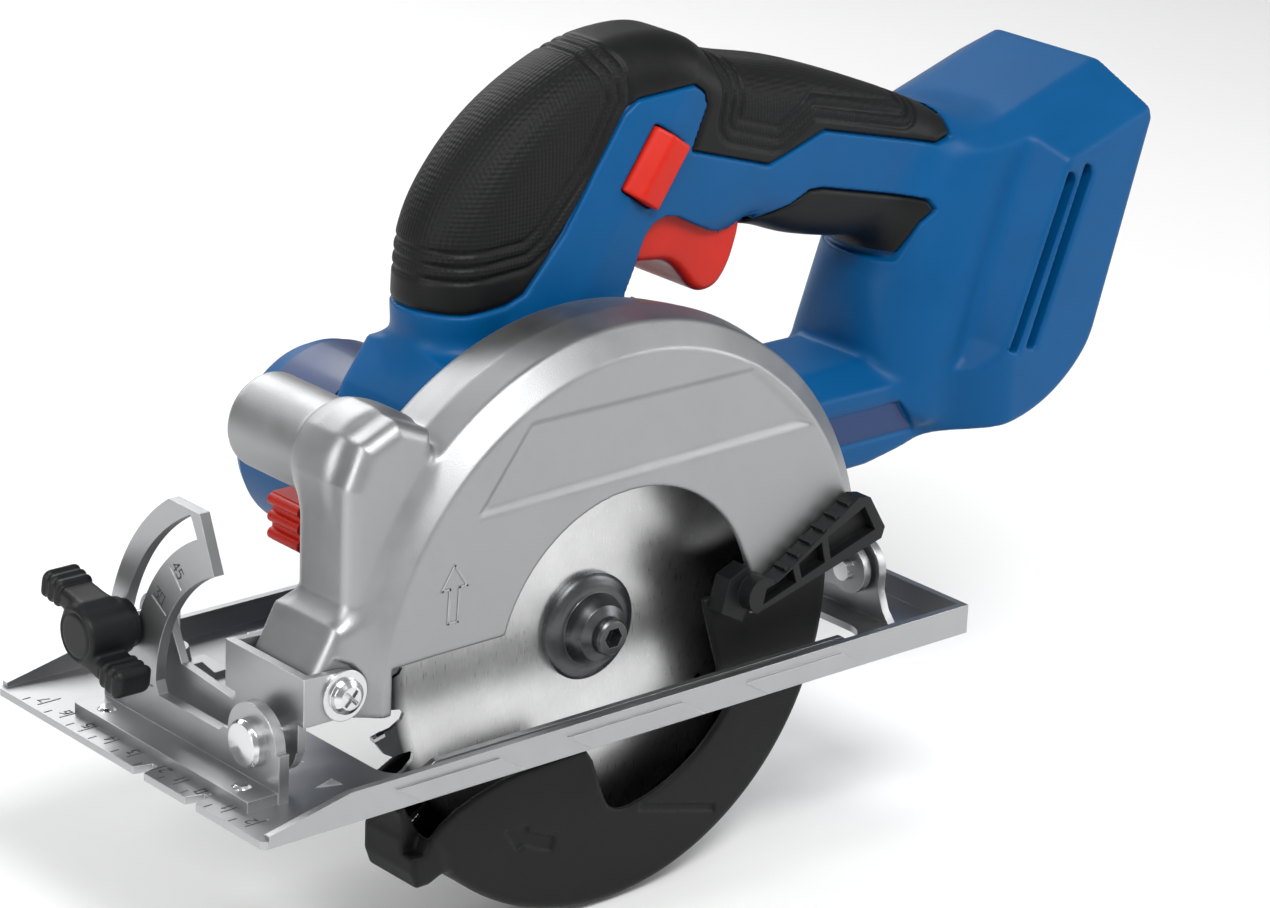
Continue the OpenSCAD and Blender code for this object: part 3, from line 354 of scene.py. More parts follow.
def slab(y, lo, hi):
    return np.abs(y - (lo + hi) / 2) - (hi - lo) / 2


class Grid:
    def __init__(self, lo, hi, h):
        self.lo, self.h = np.array(lo, float), h
        ax = [np.arange(a, b + h, h, dtype=np.float32) for a, b in zip(lo, hi)]
        self.x, self.y, self.z = ax[0][:, None, None], ax[1][None, :, None], ax[2][None, None, :]
        self.x2, self.z2 = ax[0][:, None], ax[2][None, :]
        self.shape = tuple(len(a) for a in ax)

    def side(self, pts):
        return poly_sd(self.x2, self.z2, pts)[:, None, :]


def sample(S, g, v):
    q = (v - g.lo) / g.h
    i = np.clip(np.floor(q).astype(int), 0, np.array(S.shape) - 2)
    f = q - i
    out = 0
    for a in (0, 1):
        for b in (0, 1):
            for c in (0, 1):
                w = ((f[:, 0] if a else 1 - f[:, 0]) * (f[:, 1] if b else 1 - f[:, 1])
                     * (f[:, 2] if c else 1 - f[:, 2]))
                out = out + w * S[i[:, 0] + a, i[:, 1] + b, i[:, 2] + c]
    return out


def surface_nets(S, g, steps=2):
    """Quad mesh of the zero surface of S on grid g."""
    neg = S < 0
    n = S.shape
    cs = [(a, b, c) for a in (0, 1) for b in (0, 1) for c in (0, 1)]
    cnt = np.zeros(tuple(k - 1 for k in n), dtype=np.int8)
    for a, b, c in cs:
        cnt += neg[a:n[0] - 1 + a, b:n[1] - 1 + b, c:n[2] - 1 + c]
    mixed = (cnt > 0) & (cnt < 8)
    cells = np.argwhere(mixed)
    number = np.full(mixed.shape, -1, dtype=np.int64)
    number[mixed] = np.arange(len(cells))
    acc = np.zeros((len(cells), 3))
    hits = np.zeros(len(cells))
    for p in cs:
        for axis in range(3):
            if p[axis]:
                continue
            q = list(p)
            q[axis] = 1
            s0 = S[cells[:, 0] + p[0], cells[:, 1] + p[1], cells[:, 2] + p[2]]
            s1 = S[cells[:, 0] + q[0], cells[:, 1] + q[1], cells[:, 2] + q[2]]
            cross = (s0 < 0) != (s1 < 0)
            t = np.where(cross, s0 / np.where(cross, s0 - s1, 1), 0)
            pos = np.tile(np.array(p, float), (len(cells), 1))
            pos[:, axis] += t
            acc += pos * cross[:, None]
            hits += cross
    verts = (cells + acc / hits[:, None]) * g.h + g.lo
    quads = []
    for axis in range(3):
        u, w = (axis + 1) % 3, (axis + 2) % 3
        sl0 = [slice(None)] * 3
        sl1 = [slice(None)] * 3
        sl0[axis], sl1[axis] = slice(0, -1), slice(1, None)
        a, b = neg[tuple(sl0)], neg[tuple(sl1)]
        e = np.argwhere(a != b)
        e = e[(e[:, u] > 0) & (e[:, w] > 0) & (e[:, u] < n[u] - 1) & (e[:, w] < n[w] - 1)]
        flip = a[e[:, 0], e[:, 1], e[:, 2]]
        ring = []
        for du, dw in ((-1, -1), (0, -1), (0, 0), (-1, 0)):
            c = e.copy()
            c[:, u] += du
            c[:, w] += dw
            ring.append(number[c[:, 0], c[:, 1], c[:, 2]])
        ring = np.stack(ring, 1)
        ring[~flip] = ring[~flip][:, ::-1]
        quads.append(ring)
    quads = np.concatenate(quads)
    quads = quads[(quads >= 0).all(1)]
    for _ in range(steps):
        total = np.zeros_like(verts)
        num = np.zeros(len(verts))
        for k in range(4):
            np.add.at(total, quads[:, k], verts[quads[:, (k + 1) % 4]] + verts[quads[:, (k + 3) % 4]])
            np.add.at(num, quads[:, k], 2)
        verts = 0.5 * verts + 0.5 * total / np.maximum(num, 1)[:, None]
        e = g.h * 0.5
        val = sample(S, g, verts)
        grad = np.stack([(sample(S, g, verts + d) - sample(S, g, verts - d)) / (2 * e) for d in np.eye(3) * e], 1)
        step = val / np.maximum((grad ** 2).sum(1), 0.25)
        verts = verts - grad * np.clip(step, -g.h, g.h)[:, None]
    return verts, quads


def mesh_object(name, verts, quads, mat, attr=None):
    me = bpy.data.meshes.new(name)
    me.vertices.add(len(verts))
    me.vertices.foreach_set("co", (np.asarray(verts, dtype=np.float32) * MM).ravel())
    me.loops.add(len(quads) * 4)
    me.loops.foreach_set("vertex_index", np.asarray(quads, dtype=np.int32).ravel())
    me.polygons.add(len(quads))
    me.polygons.foreach_set("loop_start", np.arange(0, len(quads) * 4, 4, dtype=np.int32))
    me.polygons.foreach_set("loop_total", np.full(len(quads), 4, dtype=np.int32))
    me.update(calc_edges=True)
    me.validate()
    me.polygons.foreach_set("use_smooth", np.ones(len(me.polygons), dtype=bool))
    if attr is not None:
        at = me.attributes.new("tex", "FLOAT", "POINT")
        at.data.foreach_set("value", np.asarray(attr, dtype=np.float32))
    obj = bpy.data.objects.new(name, me)
    bpy.context.scene.collection.objects.link(obj)
    obj.data.materials.append(mat)
    return obj


def cut(d, *parts):
    """Takes the common part of some shapes out of d."""
    tool = parts[0]
    for part in parts[1:]:
        tool = np.maximum(tool, part)
    return np.maximum(d, -tool)


def reach(g, centre):
    """Distance from an axis along Y."""
    return np.hypot(g.x - centre[0], g.z - centre[1])


def leaned(g, centre, degrees):
    """Coordinates turned about an axis along Y."""
    c, s = math.cos(math.radians(degrees)), math.sin(math.radians(degrees))
    return (g.x - centre[0]) * c + (g.z - centre[1]) * s, -(g.x - centre[0]) * s + (g.z - centre[1]) * c


def skin_object(name, d, g, mat):
    verts, quads = surface_nets(d.astype(np.float32), g, 2)
    return mesh_object(name, verts, quads, M[mat])


# ------------------------------------------------------------------ moulded housing

# side-view outlines
handle_line = spline([(32.4, 92), (33, 106), (31.4, 120), (26, 132), (16.6, 143.2), (5, 152.2), (-9, 159.4),
                      (-24, 164.2), (-40, 165.2), (-50, 163), (-59, 157.6), (-70, 153.8), (-90, 149.6),
                      (-112, 142.6), (-134, 134), (-152, 124.6), (-158, 112), (-152, 100), (-132, 97),
                      (-112, 97.6), (-92, 101.6), (-78, 106.4), (-71, 107.6), (-64, 105.6), (-56, 104.4),
                      (-46, 103), (-38, 95), (-33, 84), (-24, 72), (6, 70), (28, 76)], 5)
centre_line = [(32, 90), (40, 79), (44.4, 70), (44.4, 47), (-8, 34), (-34, 34), (-46, 38), (-42, 58),
               (-30, 78), (-20, 88)]
under_line = spline([(-112, 35.4), (-126, 38), (-136, 41), (-148, 43.2), (-158, 45.2), (-167, 48.9),
                     (-175, 54.6), (-181, 61.4), (-184, 68)], 4, False)
low_line = [(-20, 36), (-60, 34.4)] + under_line + [
    (-200.8, 125), (-196.4, 138), (-194, 142), (-150, 134), (-138, 100), (-132, 66), (-120, 62.8),
    (-60, 62), (-20, 66)]
ledge_line = [(-10, 60.5), (-100, 60.5), (-125, 60.3), (-134.8, 62.3), (-139.6, 65.2), (-142.8, 69.2),
              (-162.5, 121.7), (-166, 132), (-166, 170), (-240, 170), (-240, 10), (-10, 10)]
neck_line = [(-112, 56), (-118, 60), (-118, 84), (-126, 100), (-140, 118), (-150, 126), (-164, 128.6), (-190, 137),
             (-184, 61.5), (-150, 44), (-130, 44)]
front_area = [(70, 103.5), (24, 101), (11.5, 102), (6, 104), (-6.7, 118.5), (-25.4, 147.2), (-29.6, 150.2),
              (-47.3, 152), (-50.8, 149.6), (-52, 145.8), (-47.2, 134.2), (-75.2, 126), (-81, 127.6),
              (-95.4, 132.2), (-137, 122.4), (-142, 124), (-143.4, 128), (-138, 134), (-128, 150),
              (-100, 190), (70, 190)]
front_pad = [(70, 119), (24, 117), (6.7, 117.9), (2.5, 120.4), (-11.7, 135.8), (-19.9, 151), (-19, 157),
             (-12, 168), (0, 190), (70, 190)]
rear_pad = [(-66, 190), (-62, 158), (-65, 151.8), (-63.1, 140.2), (-77.6, 135.8), (-90.4, 143.2), (-126.3, 134.6),
            (-126, 190)]
lower_area = [(-68, 90), (-72.7, 110.1), (-83.3, 113), (-91, 116.3), (-96, 116), (-132.9, 107.4), (-134.7, 104.6),
              (-131, 101), (-126, 90)]


def gear_sd(g):
    case = np.minimum(reach(g, (0, ARBOR_Z)) - 17, reach(g, (-2.7, 41.3)) - 22.6)
    return np.minimum(case, reach(g, MOTOR) - 23)


def ease(t):
    t = np.clip(t, 0, 1)
    return t * t * (3 - 2 * t)


def handle_sd(g):
    d2 = g.side(handle_line)
    # a full round nose in front, flatter flanks behind
    nose = np.clip((g.x + 40) / 60, 0, 1)
    # the near flank draws in ahead of the crease across the nose
    ahead = (g.x + 16) * 0.831 + (g.z - 108) * 0.557
    half = 17.0 - np.clip((-g.x - 60) / 40, 0, 1) - np.clip(ahead * 0.15, 0, 2.6) * (g.y > SEAM)
    dy = np.abs(g.y - SEAM) - half
    return rounded(d2, dy, 11.5) * (1 - nose) + rounded(d2, dy, 15.5) * nose


def neck_sd(g):
    """Round neck that runs from the shoe into the handle."""
    dy = np.abs(g.y - SEAM)
    ca, sa = math.cos(math.radians(19.7)), math.sin(math.radians(19.7))
    lean = (g.x + 129) * ca + (g.z - 14) * sa
    return smax(g.side(neck_line), np.hypot(np.maximum(lean - 5.6, 0), dy) - 26.8, 4)


def low_sd(g):
    """Low arm and wide shoe in one piece; a sloping ledge runs along the arm and up the front of the shoe."""
    dy = np.abs(g.y - SEAM)
    grow = ease((-129 - g.x) / 23)
    d = rounded(g.side(low_line), (dy - 22.6 - 15.4 * grow) * 0.86, 1.6)
    ledge = g.side(ledge_line) * 0.82 + (dy - 17 - 10 * grow) * 0.5
    return smax(d, ledge, 1.0)


def foot_sd(g):
    """Shoe and neck under the sloping roof with its chamfered shoulders."""
    dy = np.abs(g.y - SEAM)
    roof = (g.z - (139.2 - (g.x + 196) * 0.335)) * 0.948
    shoulder = (dy - 20) * 0.548 + (g.z - (138.8 - (g.x + 196) * 0.335)) * 0.836
    d = smin(low_sd(g), neck_sd(g), 2.5)
    d = smax(d, shoulder, 1.0)
    return smax(d, roof, 1.0)


def housing_sd(g):
    handle = handle_sd(g)
    foot = foot_sd(g)
    centre = rounded(g.side(centre_line), slab(g.y, -54, -18), 4)
    d = smin(smin(handle, foot, 13), centre, 6)
    return d


def screw_seats():
    """Side-view place of each housing screw and the depth of its head under the local skin of the motor side."""
    seats = []
    for sx, sz in SCREWS:
        line = Grid((sx, -76, sz), (sx + 0.5, SEAM, sz + 0.5), 0.25)
        inside = housing_sd(line)[0, :, 0] < 0
        seats.append((sx, sz, max(-51.0, float(line.y[0, np.argmax(inside), 0]) + 1.4)))
    return seats


def sink_screws(d, g):
    for sx, sz, face in SEATS:
        d = cut(d, reach(g, (sx, sz)) - 3.3, g.y - face - 2)
    return d


SEATS = screw_seats()


def build_housing():
    g = Grid((-204, -74.5, 31), (47, 4.5, 168), 0.76)
    d = housing_sd(g)
    # stays behind the guard and the depth arm
    d = np.maximum(d, np.where(g.x > -52, g.y + 18.05, g.y - 3))
    # grips sit in shallow beds
    bed = 1.6
    skin = housing_sd(g)
    for area in (front_area, lower_area):
        d = cut(d, g.side(area) - 0.35, -(skin + bed))
    # clearance for castings and motor
    d = cut(d, gear_sd(g) - 0.5, slab(g.y, -47, 5))
    d = cut(d, reach(g, MOTOR) - 27.5, slab(g.y, -110, -45))
    # trigger opening
    d = cut(d, g.side([(-73, 90), (-28.6, 90), (-28.6, 113), (-35, 121), (-62, 122), (-73, 118)]),
            np.abs(g.y - SEAM) - 14.4)
    d = smax(d, -g.side([(-59.6, 92), (-59, 109.2), (-50, 113.5), (-43.2, 117), (-38.8, 117.8), (-35, 116.5),
                         (-32.4, 113.9), (-30.6, 110), (-29.2, 106), (-26, 99), (-28, 90)]), 0.8)
    # air slots of the foot
    for s, t in ((-0.8, 0.3), (-7.2, 1.6)):
        slot = g.side([(-170.8 + s, 110.5 + t), (-170 + s, 113.3 + t), (-167.6 + s, 114.2 + t),
                       (-149 + s, 65.4), (-152.4 + s, 64.8)])
        d = smax(d, -np.maximum(slot, -(np.abs(g.y - SEAM) - 33)), 0.4)
    # battery interface
    lx, lz = leaned(g, SHOE, SHOE_LEAN)
    d = cut(d, np.abs(lx) - 8, np.abs(lz + 4) - 30, np.abs(g.y - SEAM) - 24)
    # lock-off opening
    lx, lz = leaned(g, LOCK_OFF, LOCK_OFF_LEAN)
    d = cut(d, np.abs(lx) - 5.9, np.abs(lz) - 9.9, -(np.abs(g.y - SEAM) - 8))
    # spindle lock slot
    d = cut(d, np.abs(g.x - 43) - 5, np.abs(g.z - MOTOR[1]) - 8.9, slab(g.y, -46.5, -33.1))
    # recessed label panel on the low arm
    panel = g.side([(-92, 52.4), (-122.4, 52.4), (-129.4, 42.2), (-92, 42.2)])
    d = cut(d, panel, -(g.y + 12.95))
    d = sink_screws(d, g)
    obj = skin_object("housing_moulding", d, g, "blue_plastic")
    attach(obj, "head")
    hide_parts("housing_left", "housing_right")


def build_grip(name, lo, hi, area, pads, node):
    """Soft skin over an area; each pad is outlined by grooves, with a fine grid inside the last one."""
    g = Grid(lo, hi, 0.6)
    base = housing_sd(g)
    a = g.side(area)
    tex = np.zeros(np.broadcast(a, g.y).shape, dtype=np.float32)
    groove = 0
    for pad, widths in pads:
        p = g.side(pad)
        for w in widths:
            groove = groove + 0.75 * np.exp(-((p - w) / 0.62) ** 2)
        last = widths[-1]
        tex = np.maximum(tex, (p < last) * 1.0)
        for w in widths:
            tex = np.minimum(tex, (np.abs(p - w) > 0.7) * 1.0)
    d = smax(base + groove + 0.1, a, 1.6)
    d = cut(d, base + 2.4)
    d = sink_screws(d, g)
    verts, quads = surface_nets(d.astype(np.float32), g, 2)
    t = sample(tex, g, verts)
    obj = mesh_object(name, verts, quads, M["grip_rubber"], t)
    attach(obj, "head")
    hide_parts(*node)


build_housing()
build_grip("grip_overmould", (-150, -60, 96), (38, -10, 168), front_area,
           [(front_pad, (0.0, 3.6, 7.2)), (rear_pad, (0.0, 3.2, 6.4))], ("front_grip", "rear_grip"))
build_grip("grip_underside", (-140, -64, 92), (-64, -6, 120), lower_area, [], ("lower_grip",))

# ------------------------------------------------------------------ cast upper guard


def turned_sd(g, pts):
    """Distance to a profile (radius, y) turned about the arbor, read from a fine table."""
    step = 0.25
    rr = np.arange(0, 130, step, dtype=np.float32)
    yy = np.arange(-60, 40, step, dtype=np.float32)
    table = poly_sd(rr[:, None], yy[None, :], pts)
    R = reach(g, (0, ARBOR_Z))
    fr = np.clip(R / step, 0, len(rr) - 2)
    fy = np.clip((g.y + 60) / step, 0, len(yy) - 2)
    i, j = fr.astype(int), fy.astype(int)
    a, b = fr - i, fy - j
    return (table[i, j] * (1 - a) * (1 - b) + table[i + 1, j] * a * (1 - b)
            + table[i, j + 1] * (1 - a) * b + table[i + 1, j + 1] * a * b)


def build_guard():
    g = Grid((-90, -45, 1), (98, 20, 108), 0.68)
    outer = [(-5, -12), (82.6, -12), (84.4, -11), (85, -9.5), (86, -3), (86.7, 3), (85.2, 12.5),
             (78.8, GUARD_FACE), (-5, GUARD_FACE)]
    inner = [(-5, -9.8), (81.6, -9.8), (82.6, -7), (83.6, 3), (82.4, 11.3), (77, 15.8), (-5, 15.8)]
    R = reach(g, (0, ARBOR_Z))
    keep = g.side([(-110, 31), (-44, 25), (-30, 21), (30, 21), (66, 18.3), (110, 18.3), (110, 130),
                   (-110, 130)])
    keep = np.minimum(keep, R - 16)
    keep = np.minimum(keep, reach(g, CLAMP) - 7)
    body = smax(turned_sd(g, outer), keep, 0.8)
    column = g.side([(58, 62), (62, 46), (72, 34), (82, 20.5), (93, 20.5), (95, 26), (94.6, 30), (89, 38),
                     (85.5, 47), (85.5, 77), (81, 87.5), (70.5, 92), (60, 87.5)])
    col = smax(rounded(column, slab(g.y, -11, 12.5), 4.5), 31 - g.z, 3)
    foot = rounded(smin(g.side([(79, 26), (82, 20.4), (93, 20.4), (95, 26), (95, 31), (89, 42), (79, 44)]),
                        reach(g, PIVOT) - 6.4, 2), slab(g.y, -14.6, 12.5), 2.5)
    foot = np.maximum(foot, 82.2 - R)
    tube = smax(reach(g, TUBE) - 12.6, slab(g.y, -43, 0), 1.6)
    collar = smax(reach(g, TUBE) - 14, slab(g.y, -13, 0), 2)
    d = smin(smin(col, foot, 5), smin(tube, collar, 3), 5)
    d = smin(d, body, 3.5)
    d = cut(d, turned_sd(g, inner))
    # keeps clear of the yoke's plate and arms over the whole depth travel
    plate, near_arm, far_arm = 9.2, 12.65, -14.7
    for turn in (0, 7, 14, 21, 28):
        along, rise = leaned(g, PIVOT, turn)
        band = np.abs(rise - 0.4) - 6.9
        d = cut(d, plate - along, band)
        d = cut(d, -0.5 - along, band, np.minimum(near_arm - g.y, g.y - far_arm))
    d = cut(d, reach(g, PIVOT) - 6.9, near_arm - g.y)
    # blade window in the near face, dust duct, neck of the gear case, pivot bore
    window = np.minimum(R - 42.5, g.side([(-41.5, -5), (-41.5, 26), (0, 30), (34, 31.2), (76, 30.8),
                                          (76, -5)]))
    d = smax(d, -np.maximum(window, 15.3 - g.y), 0.8)
    d = cut(d, smax(reach(g, TUBE) - 10, slab(g.y, -60, 8.5), 1))
    d = cut(d, R - 14.1 + np.maximum(g.y + 9, 0) * 9)
    d = cut(d, reach(g, PIVOT) - 3.1)
    # plain sunk panel with sloping sides
    panel = g.side([(52.6, 63.8), (34.6, 87.4), (-40, 87.4), (-63.5, 66.2)])
    d = np.maximum(d, g.y - (GUARD_FACE - 1.15 * ease(-panel / 2.8)))
    obj = skin_object("guard_casting", d, g, "cast_metal")
    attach(obj, "head")
    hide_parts("upper_guard", "dust_spout")


build_guard()

# ------------------------------------------------------------------ knob, controls, screws, lower guard


def box_sd(x, y, z, hx, hy, hz, r):
    qx, qy, qz = np.abs(x) - hx + r, np.abs(y) - hy + r, np.abs(z) - hz + r
    return (np.sqrt(np.maximum(qx, 0) ** 2 + np.maximum(qy, 0) ** 2 + np.maximum(qz, 0) ** 2)
            + np.minimum(np.maximum(qx, np.maximum(qy, qz)), 0) - r)


def build_knob():
    # the clamp bolt stands on the slot's radius
    slot_r, slot_angle = 54, math.radians(15)
    by, bz = BEVEL_Y - slot_r * math.cos(slot_angle), BEVEL_Z + slot_r * math.sin(slot_angle)
    g = Grid((107.5, by - 21, bz - 21), (126, by + 21, bz + 21), 0.42)
    y, z = g.y - by, g.z - bz
    rad = np.hypot(y, z)
    hub = smax(rad - 7.4, np.abs(g.x - 117.3) - 7.2, 1.6)
    neck = smax(rad - 6.4, np.abs(g.x - 112) - 3.5, 0.6)
    d = smin(hub, neck, 0.6)
    t = math.radians(-9)
    for s in (1, -1):
        yy = s * (y * math.cos(t) + z * math.sin(t))
        zz = s * (-y * math.sin(t) + z * math.cos(t))
        ribs = 0.35 * np.cos(np.clip(yy + 18, 0, 8.4) * 2 * math.pi / 2.8) * (yy < -9.6)
        wing = box_sd(g.x - 118.2, yy + 9.2, zz - 5.6, 5.0, 9.2, 2.7, 1.5) + ribs * 0.8
        tip = box_sd(g.x - 118.2, yy + 14.4, zz - 6.0, 5.0, 4.0, 3.4, 1.6) + ribs
        d = smin(d, smin(wing, tip, 1.5), 1.8)
    d = cut(d, rad - 2.56, g.x - 121.5)
    d = smax(d, -(np.maximum(np.abs(rad - 5.9) - 0.3, 124.0 - g.x)), 0.3)
    obj = skin_object("knob_moulding", d, g, "black_plastic")
    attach(obj, "bevel_knob")
    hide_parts("bevel_knob")


def build_trigger():
    g = Grid((-71, -50, 90), (-28, -20, 121.5), 0.5)
    line = spline([(-30, 112), (-31.4, 105.8), (-36, 104.8), (-42, 104), (-46, 101.8), (-49.5, 98.2),
                   (-52.4, 95), (-56, 93.2), (-60.5, 93.8), (-64, 97), (-67, 103), (-68.6, 112), (-62, 117.5),
                   (-50, 119), (-38, 119)], 4)
    d = rounded(g.side(line), np.abs(g.y - SEAM) - 13.7, 2.8)
    # room for the switch, its spring and plunger
    d = cut(d, np.abs(g.y - SEAM) - 9.6, 116.8 - g.z, np.abs(g.x + 60) - 24)
    obj = skin_object("trigger_moulding", d, g, "red_plastic")
    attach(obj, "trigger")
    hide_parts("trigger")


def build_spring():
    """Coil between the trigger and the switch."""
    verts, quads = [], []
    sides, steps, turns = 8, 160, 5.5
    coil_x, bottom = -60, 117.4
    coil_r, wire_r = 2.58, 0.36
    for i in range(steps + 1):
        a = 2 * math.pi * turns * i / steps
        # the end coils lie flat
        h = 0.42 + 7.7 * min(1.0, max(0.0, (i / steps - 0.09) / 0.82))
        for k in range(sides):
            t = 2 * math.pi * k / sides
            rad = coil_r + wire_r * math.cos(t)
            verts.append((coil_x + rad * math.cos(a), SEAM + rad * math.sin(a),
                          bottom + h + wire_r * math.sin(t)))
    for i in range(steps):
        for k in range(sides):
            m = (k + 1) % sides
            quads.append((i * sides + k, i * sides + m, (i + 1) * sides + m, (i + 1) * sides + k))
    obj = mesh_object("trigger_coil", verts, quads, M["bright_steel"])
    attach(obj, "head")
    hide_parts("trigger_spring")
    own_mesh(obj)


def build_screws():
    """Socket screws of the housing, each sunk to the local skin."""
    verts, quads = [], []
    for sx, sz, face in SEATS:
        g = Grid((sx - 4, face - 1, sz - 4), (sx + 4, SEAM + 8, sz + 4), 0.3)
        rad = reach(g, (sx, sz))
        d = np.minimum(rounded(rad - 3, slab(g.y, face, face + 2), 0.4),
                       np.maximum(rad - 1.5, slab(g.y, face + 1, SEAM + 7)))
        flats = [np.abs(leaned(g, (sx, sz), a)[0]) - 1.25 for a in (0, 60, 120)]
        d = cut(d, *flats, g.y - face - 1.3)
        v, q = surface_nets(d.astype(np.float32), g, 1)
        quads.append(q + sum(len(k) for k in verts))
        verts.append(v)
    obj = mesh_object("sunk_screws", np.concatenate(verts), np.concatenate(quads),
                      M[slot_of["housing_screws"]])
    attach(obj, "head")
    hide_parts("housing_screws")


def build_lock_off():
    g = Grid((-50, -58, 118), (-18, -12, 146), 0.5)
    lx, lz = leaned(g, LOCK_OFF, LOCK_OFF_LEAN)
    dy = np.abs(g.y - SEAM)
    d = box_sd(lx, g.y - SEAM, lz, 5.5, 20.4, 9.5, 0.8)
    # the pressed faces slope towards the rear
    d = smax(d, (lx - 1.4) * 0.625 + (dy - 20.4) * 0.781, 0.5)
    obj = skin_object("lock_off_moulding", d, g, "red_plastic")
    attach(obj, "lock_off")
    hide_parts("lock_off_button")


def arbor_arc(radius, degrees):
    return [(radius * math.cos(math.radians(a)), ARBOR_Z + radius * math.sin(math.radians(a)))
            for a in degrees]


def build_lower_guard():
    g = Grid((-76, -10.5, -57.5), (70, 15.5, 60), 0.6)
    R = reach(g, (0, ARBOR_Z))
    sector = g.side([(0, ARBOR_Z)] + arbor_arc(120, range(-26, -189, -6)))
    drum = smax(rounded(R - 74, slab(g.y, -9.4, 14), 2.6), sector, 0.6)
    nose = rounded(g.side([(54, -31.4), (59.7, -33.8), (63.6, -33.8), (65.4, -29), (65.4, -22), (64, -17.6),
                           (61, -20), (57, -25)]), slab(g.y, -7, 14), 1.6)
    d = smin(drum, nose, 2.5)
    d = cut(d, smax(R - 71.6, slab(g.y, -7.4, 12), 1.0))
    mouth = g.side([(61.6, -25), (60, -21.6), (56.4, -18.2), (51.6, -15.4), (44.8, -13), (37, -11), (30, -10.2),
                    (9, -9.5), (6.6, -13), (3.9, -20.5), (1.9, -25.4), (0.4, -27.6), (-2.2, -29.2), (-6, -29.7)]
                   + arbor_arc(49, range(-100, -147, -4))
                   + [(-31, 17), (-29, 24), (0, 60), (110, 60), (110, -25)])
    d = smax(d, -np.maximum(mouth, 9.0 - g.y), 1.0)
    # hub ring that turns on the neck of the gear case
    d = cut(d, smax(R - 17.4, np.zeros_like(R), 0.1))
    hub = np.maximum(R - 21, slab(g.y, -9.4, -7.4))
    d = np.minimum(d, np.maximum(hub, 14.08 - R))
    # depth mark and arrow, sunk into the near wall
    mark = np.minimum(g.side([(-10.2, -29.9), (-36.4, -36.9), (-36.5, -39), (-9.9, -31.9)]),
                      g.side([(35.4, -25.5), (27.8, -25.9), (28.2, -27.5), (23.6, -29.5), (18.9, -31.4),
                              (19.8, -35), (24.5, -33.3), (29.1, -30.9), (31.3, -32)]))
    d = cut(d, mark, 13.3 - g.y)
    obj = skin_object("guard_shell", d, g, "guard_plastic")
    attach(obj, "lower_guard")
    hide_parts("lower_guard")


build_knob()
build_trigger()
build_spring()
build_lock_off()
build_screws()
build_lower_guard()

# ------------------------------------------------------------------ marks

DIGITS = {"0": [[(0, 0), (2, 0), (2, 4), (0, 4), (0, 0)]], "1": [[(0.4, 3.2), (1.2, 4), (1.2, 0)]],
          "2": [[(0, 3.4), (0.5, 4), (1.6, 4), (2, 3.4), (2, 2.5), (0, 0), (2, 0)]],
          "3": [[(0, 4), (2, 4), (1, 2.4), (2, 1.6), (2, 0.5), (1.5, 0), (0, 0)]],
          "4": [[(1.5, 0), (1.5, 4), (0, 1.2), (2, 1.2)]],
          "5": [[(2, 4), (0.2, 4), (0, 2.3), (1.4, 2.4), (2, 1.8), (2, 0.6), (1.5, 0), (0, 0)]],
          "6": [[(1.9, 4), (0.3, 3), (0, 1.6), (0, 0), (2, 0), (2, 2), (0, 2)]],
          "7": [[(0, 4), (2, 4), (0.8, 0)]]}


def number(text, size, u, v):
    """Strokes of a small number whose lower left corner is at u, v."""
    k = size / 4
    return [[(u + k * (x + 2.9 * i), v + k * y) for x, y in line]
            for i, c in enumerate(text) for line in DIGITS[c]]


def marks(name, lines, width, place, body, mat):
    """Thin raised strokes; place turns (u, v, height) into millimetres."""
    bm = bmesh.new()
    for line in lines:
        for (ax, ay), (bx, by) in zip(line, line[1:]):
            L = math.hypot(bx - ax, by - ay)
            ux, uy = (bx - ax) / L * width / 2, (by - ay) / L * width / 2
            a = (ax - ux, ay - uy)
            b = (bx + ux, by + uy)
            ring = [(a[0] - uy, a[1] + ux), (a[0] + uy, a[1] - ux),
                    (b[0] + uy, b[1] - ux), (b[0] - uy, b[1] + ux)]
            lo = [bm.verts.new(Vector(place(u, v, -0.05)) * MM) for u, v in ring]
            hi = [bm.verts.new(Vector(place(u, v, 0.06)) * MM) for u, v in ring]
            bm.faces.new(hi)
            bm.faces.new(lo[::-1])
            for i in range(4):
                bm.faces.new((lo[i], lo[(i + 1) % 4], hi[(i + 1) % 4], hi[i]))
    bmesh.ops.recalc_face_normals(bm, faces=bm.faces)
    me = bpy.data.meshes.new(name)
    bm.to_mesh(me)
    bm.free()
    obj = bpy.data.objects.new(name, me)
    bpy.context.scene.collection.objects.link(obj)
    me.materials.append(M[mat])
    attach(obj, body)


M["stamped"] = surface("stamped", (0.15, 0.152, 0.156), 0.5, 1.0, grain=1800, grain_bump=0.4, blotch=140,
                       blotch_amt=0.15)

# centimetre scale along the front edge
scale = []
# the numbers at 0 and 2 stand aside from the notches
aside = {0: 2.0, 2: -2.9}
for i in range(-2, 8):
    scale += number(str(abs(i)), 2.8, 10 * i + aside.get(i, 0.9), -6.4)
    scale.append([(10 * i + 5, -0.8), (10 * i + 5, -2.8)])
    if i:
        scale.append([(10 * i, -2.2), (10 * i, -8.0)])
marks("scale_marks", scale, 0.42, lambda u, v, h: (PLATE_FRONT + v, -u, PLATE_TOP + h), "base", "stamped")

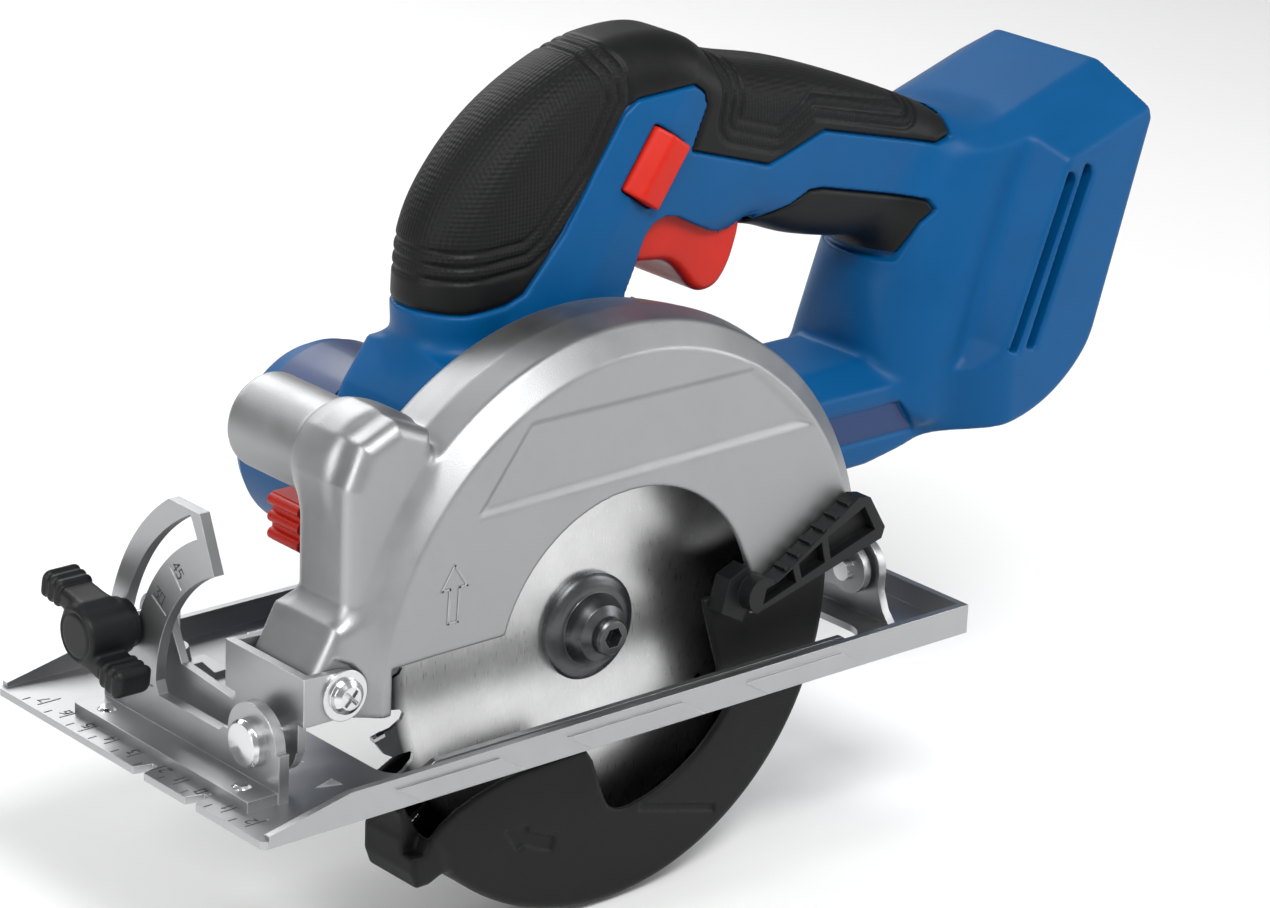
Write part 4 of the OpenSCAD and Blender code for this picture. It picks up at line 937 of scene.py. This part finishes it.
# bevel numbers beside the quadrant
bevels = []
for angle, text in ((0, "0"), (30, "30"), (45, "45")):
    t = math.radians(180 - angle)
    c, s = math.cos(t), math.sin(t)
    cy, cz = BEVEL_Y + 46 * c, BEVEL_Z + 46 * s
    for line in number(text, 3.0, -1.2 * len(text), 1.0):
        # the number stands along its radius line
        bevels.append([(cy - c * p + s * q, cz - s * p - c * q) for p, q in line])
marks("bevel_marks", bevels, 0.4, lambda u, v, h: (108.0 + h, u, v), "base", "stamped")

# direction arrow moulded on the face of the guard
arrow = [[(56.4, 39), (59.4, 39), (59.0, 48), (61.4, 48), (57.6, 54), (53.6, 48), (56.0, 48), (56.4, 39)]]
marks("guard_arrow", arrow, 0.55, lambda u, v, h: (u, GUARD_FACE + 4 * h, v), "head", "cast_metal")

# plain film in the label panel of the low arm
film = [[(-93, 47.4), (-125, 47.4)]]
marks("arm_label", film, 8.6, lambda u, v, h: (u, -12.92 + 0.5 * h, v), "head", "label_film")

# ------------------------------------------------------------------ stage, light, camera

bpy.ops.mesh.primitive_plane_add(size=6, location=(0, 0, -0.0562))
floor = bpy.context.object
floor.name = "floor"
fm, fnt, fb = new_mat("floor_paper")
fcol = ramp(fnt, noise(fnt, object_coords(fnt), 3.0), [(0.3, (0.88, 0.88, 0.88)), (0.7, (0.9, 0.9, 0.9))])
fnt.links.new(fcol, fb.inputs["Base Color"])
fb.inputs["Roughness"].default_value = 0.75
floor.data.materials.append(fm)

world = bpy.context.scene.world or bpy.data.worlds.new("studio")
bpy.context.scene.world = world
world.use_nodes = True
wb = world.node_tree.nodes["Background"]
wb.inputs["Color"].default_value = (1.0, 1.0, 1.0, 1)
wb.inputs["Strength"].default_value = 0.34


def area_light(name, pos, target, size, power, size_y):
    ld = bpy.data.lights.new(name, "AREA")
    ld.shape = "RECTANGLE"
    ld.size = size
    ld.size_y = size_y
    ld.energy = power
    lo = bpy.data.objects.new(name, ld)
    bpy.context.scene.collection.objects.link(lo)
    lo.location = pos
    lo.rotation_euler = (Vector(target) - Vector(pos)).to_track_quat("-Z", "Y").to_euler()


centre = (-0.02, -0.02, 0.06)
area_light("key", (0.25, 0.75, 1.05), centre, 0.55, 13, 0.4)
area_light("front_strip", (1.05, 0.1, 0.5), centre, 0.2, 6, 0.9)
area_light("rim_back", (-0.25, -0.9, 1.0), centre, 0.4, 3.5, 0.25)
area_light("back_card", (-0.1, -1.25, 0.75), centre, 1.3, 7, 0.6)
area_light("rear_side", (-1.0, 0.7, 0.45), centre, 0.3, 4.5, 0.7)

# camera ahead of the saw on its blade side
cam_pos = Vector((665.69, 772.57, 436.86)) * MM
target = Vector((-15.5, 0.0, 62.53)) * MM
roll = math.radians(2.35)
view = (target - cam_pos).normalized()
right = view.cross(Vector((0, 0, 1))).normalized()
up = right.cross(view).normalized()
r2 = right * math.cos(roll) + up * math.sin(roll)
u2 = -right * math.sin(roll) + up * math.cos(roll)
cam = bpy.data.cameras.new("camera")
cam.lens = 120.47
cam.sensor_width = 36.0
cam_obj = bpy.data.objects.new("camera", cam)
cam_obj.matrix_world = Matrix(((r2.x, u2.x, -view.x, cam_pos.x), (r2.y, u2.y, -view.y, cam_pos.y),
                               (r2.z, u2.z, -view.z, cam_pos.z), (0, 0, 0, 1)))
bpy.context.scene.collection.objects.link(cam_obj)
bpy.context.scene.camera = cam_obj
bpy.context.scene.view_settings.view_transform = "Standard"
bpy.context.scene.view_settings.look = "None"
bpy.context.scene.view_settings.exposure = 0.0

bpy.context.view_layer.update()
import json
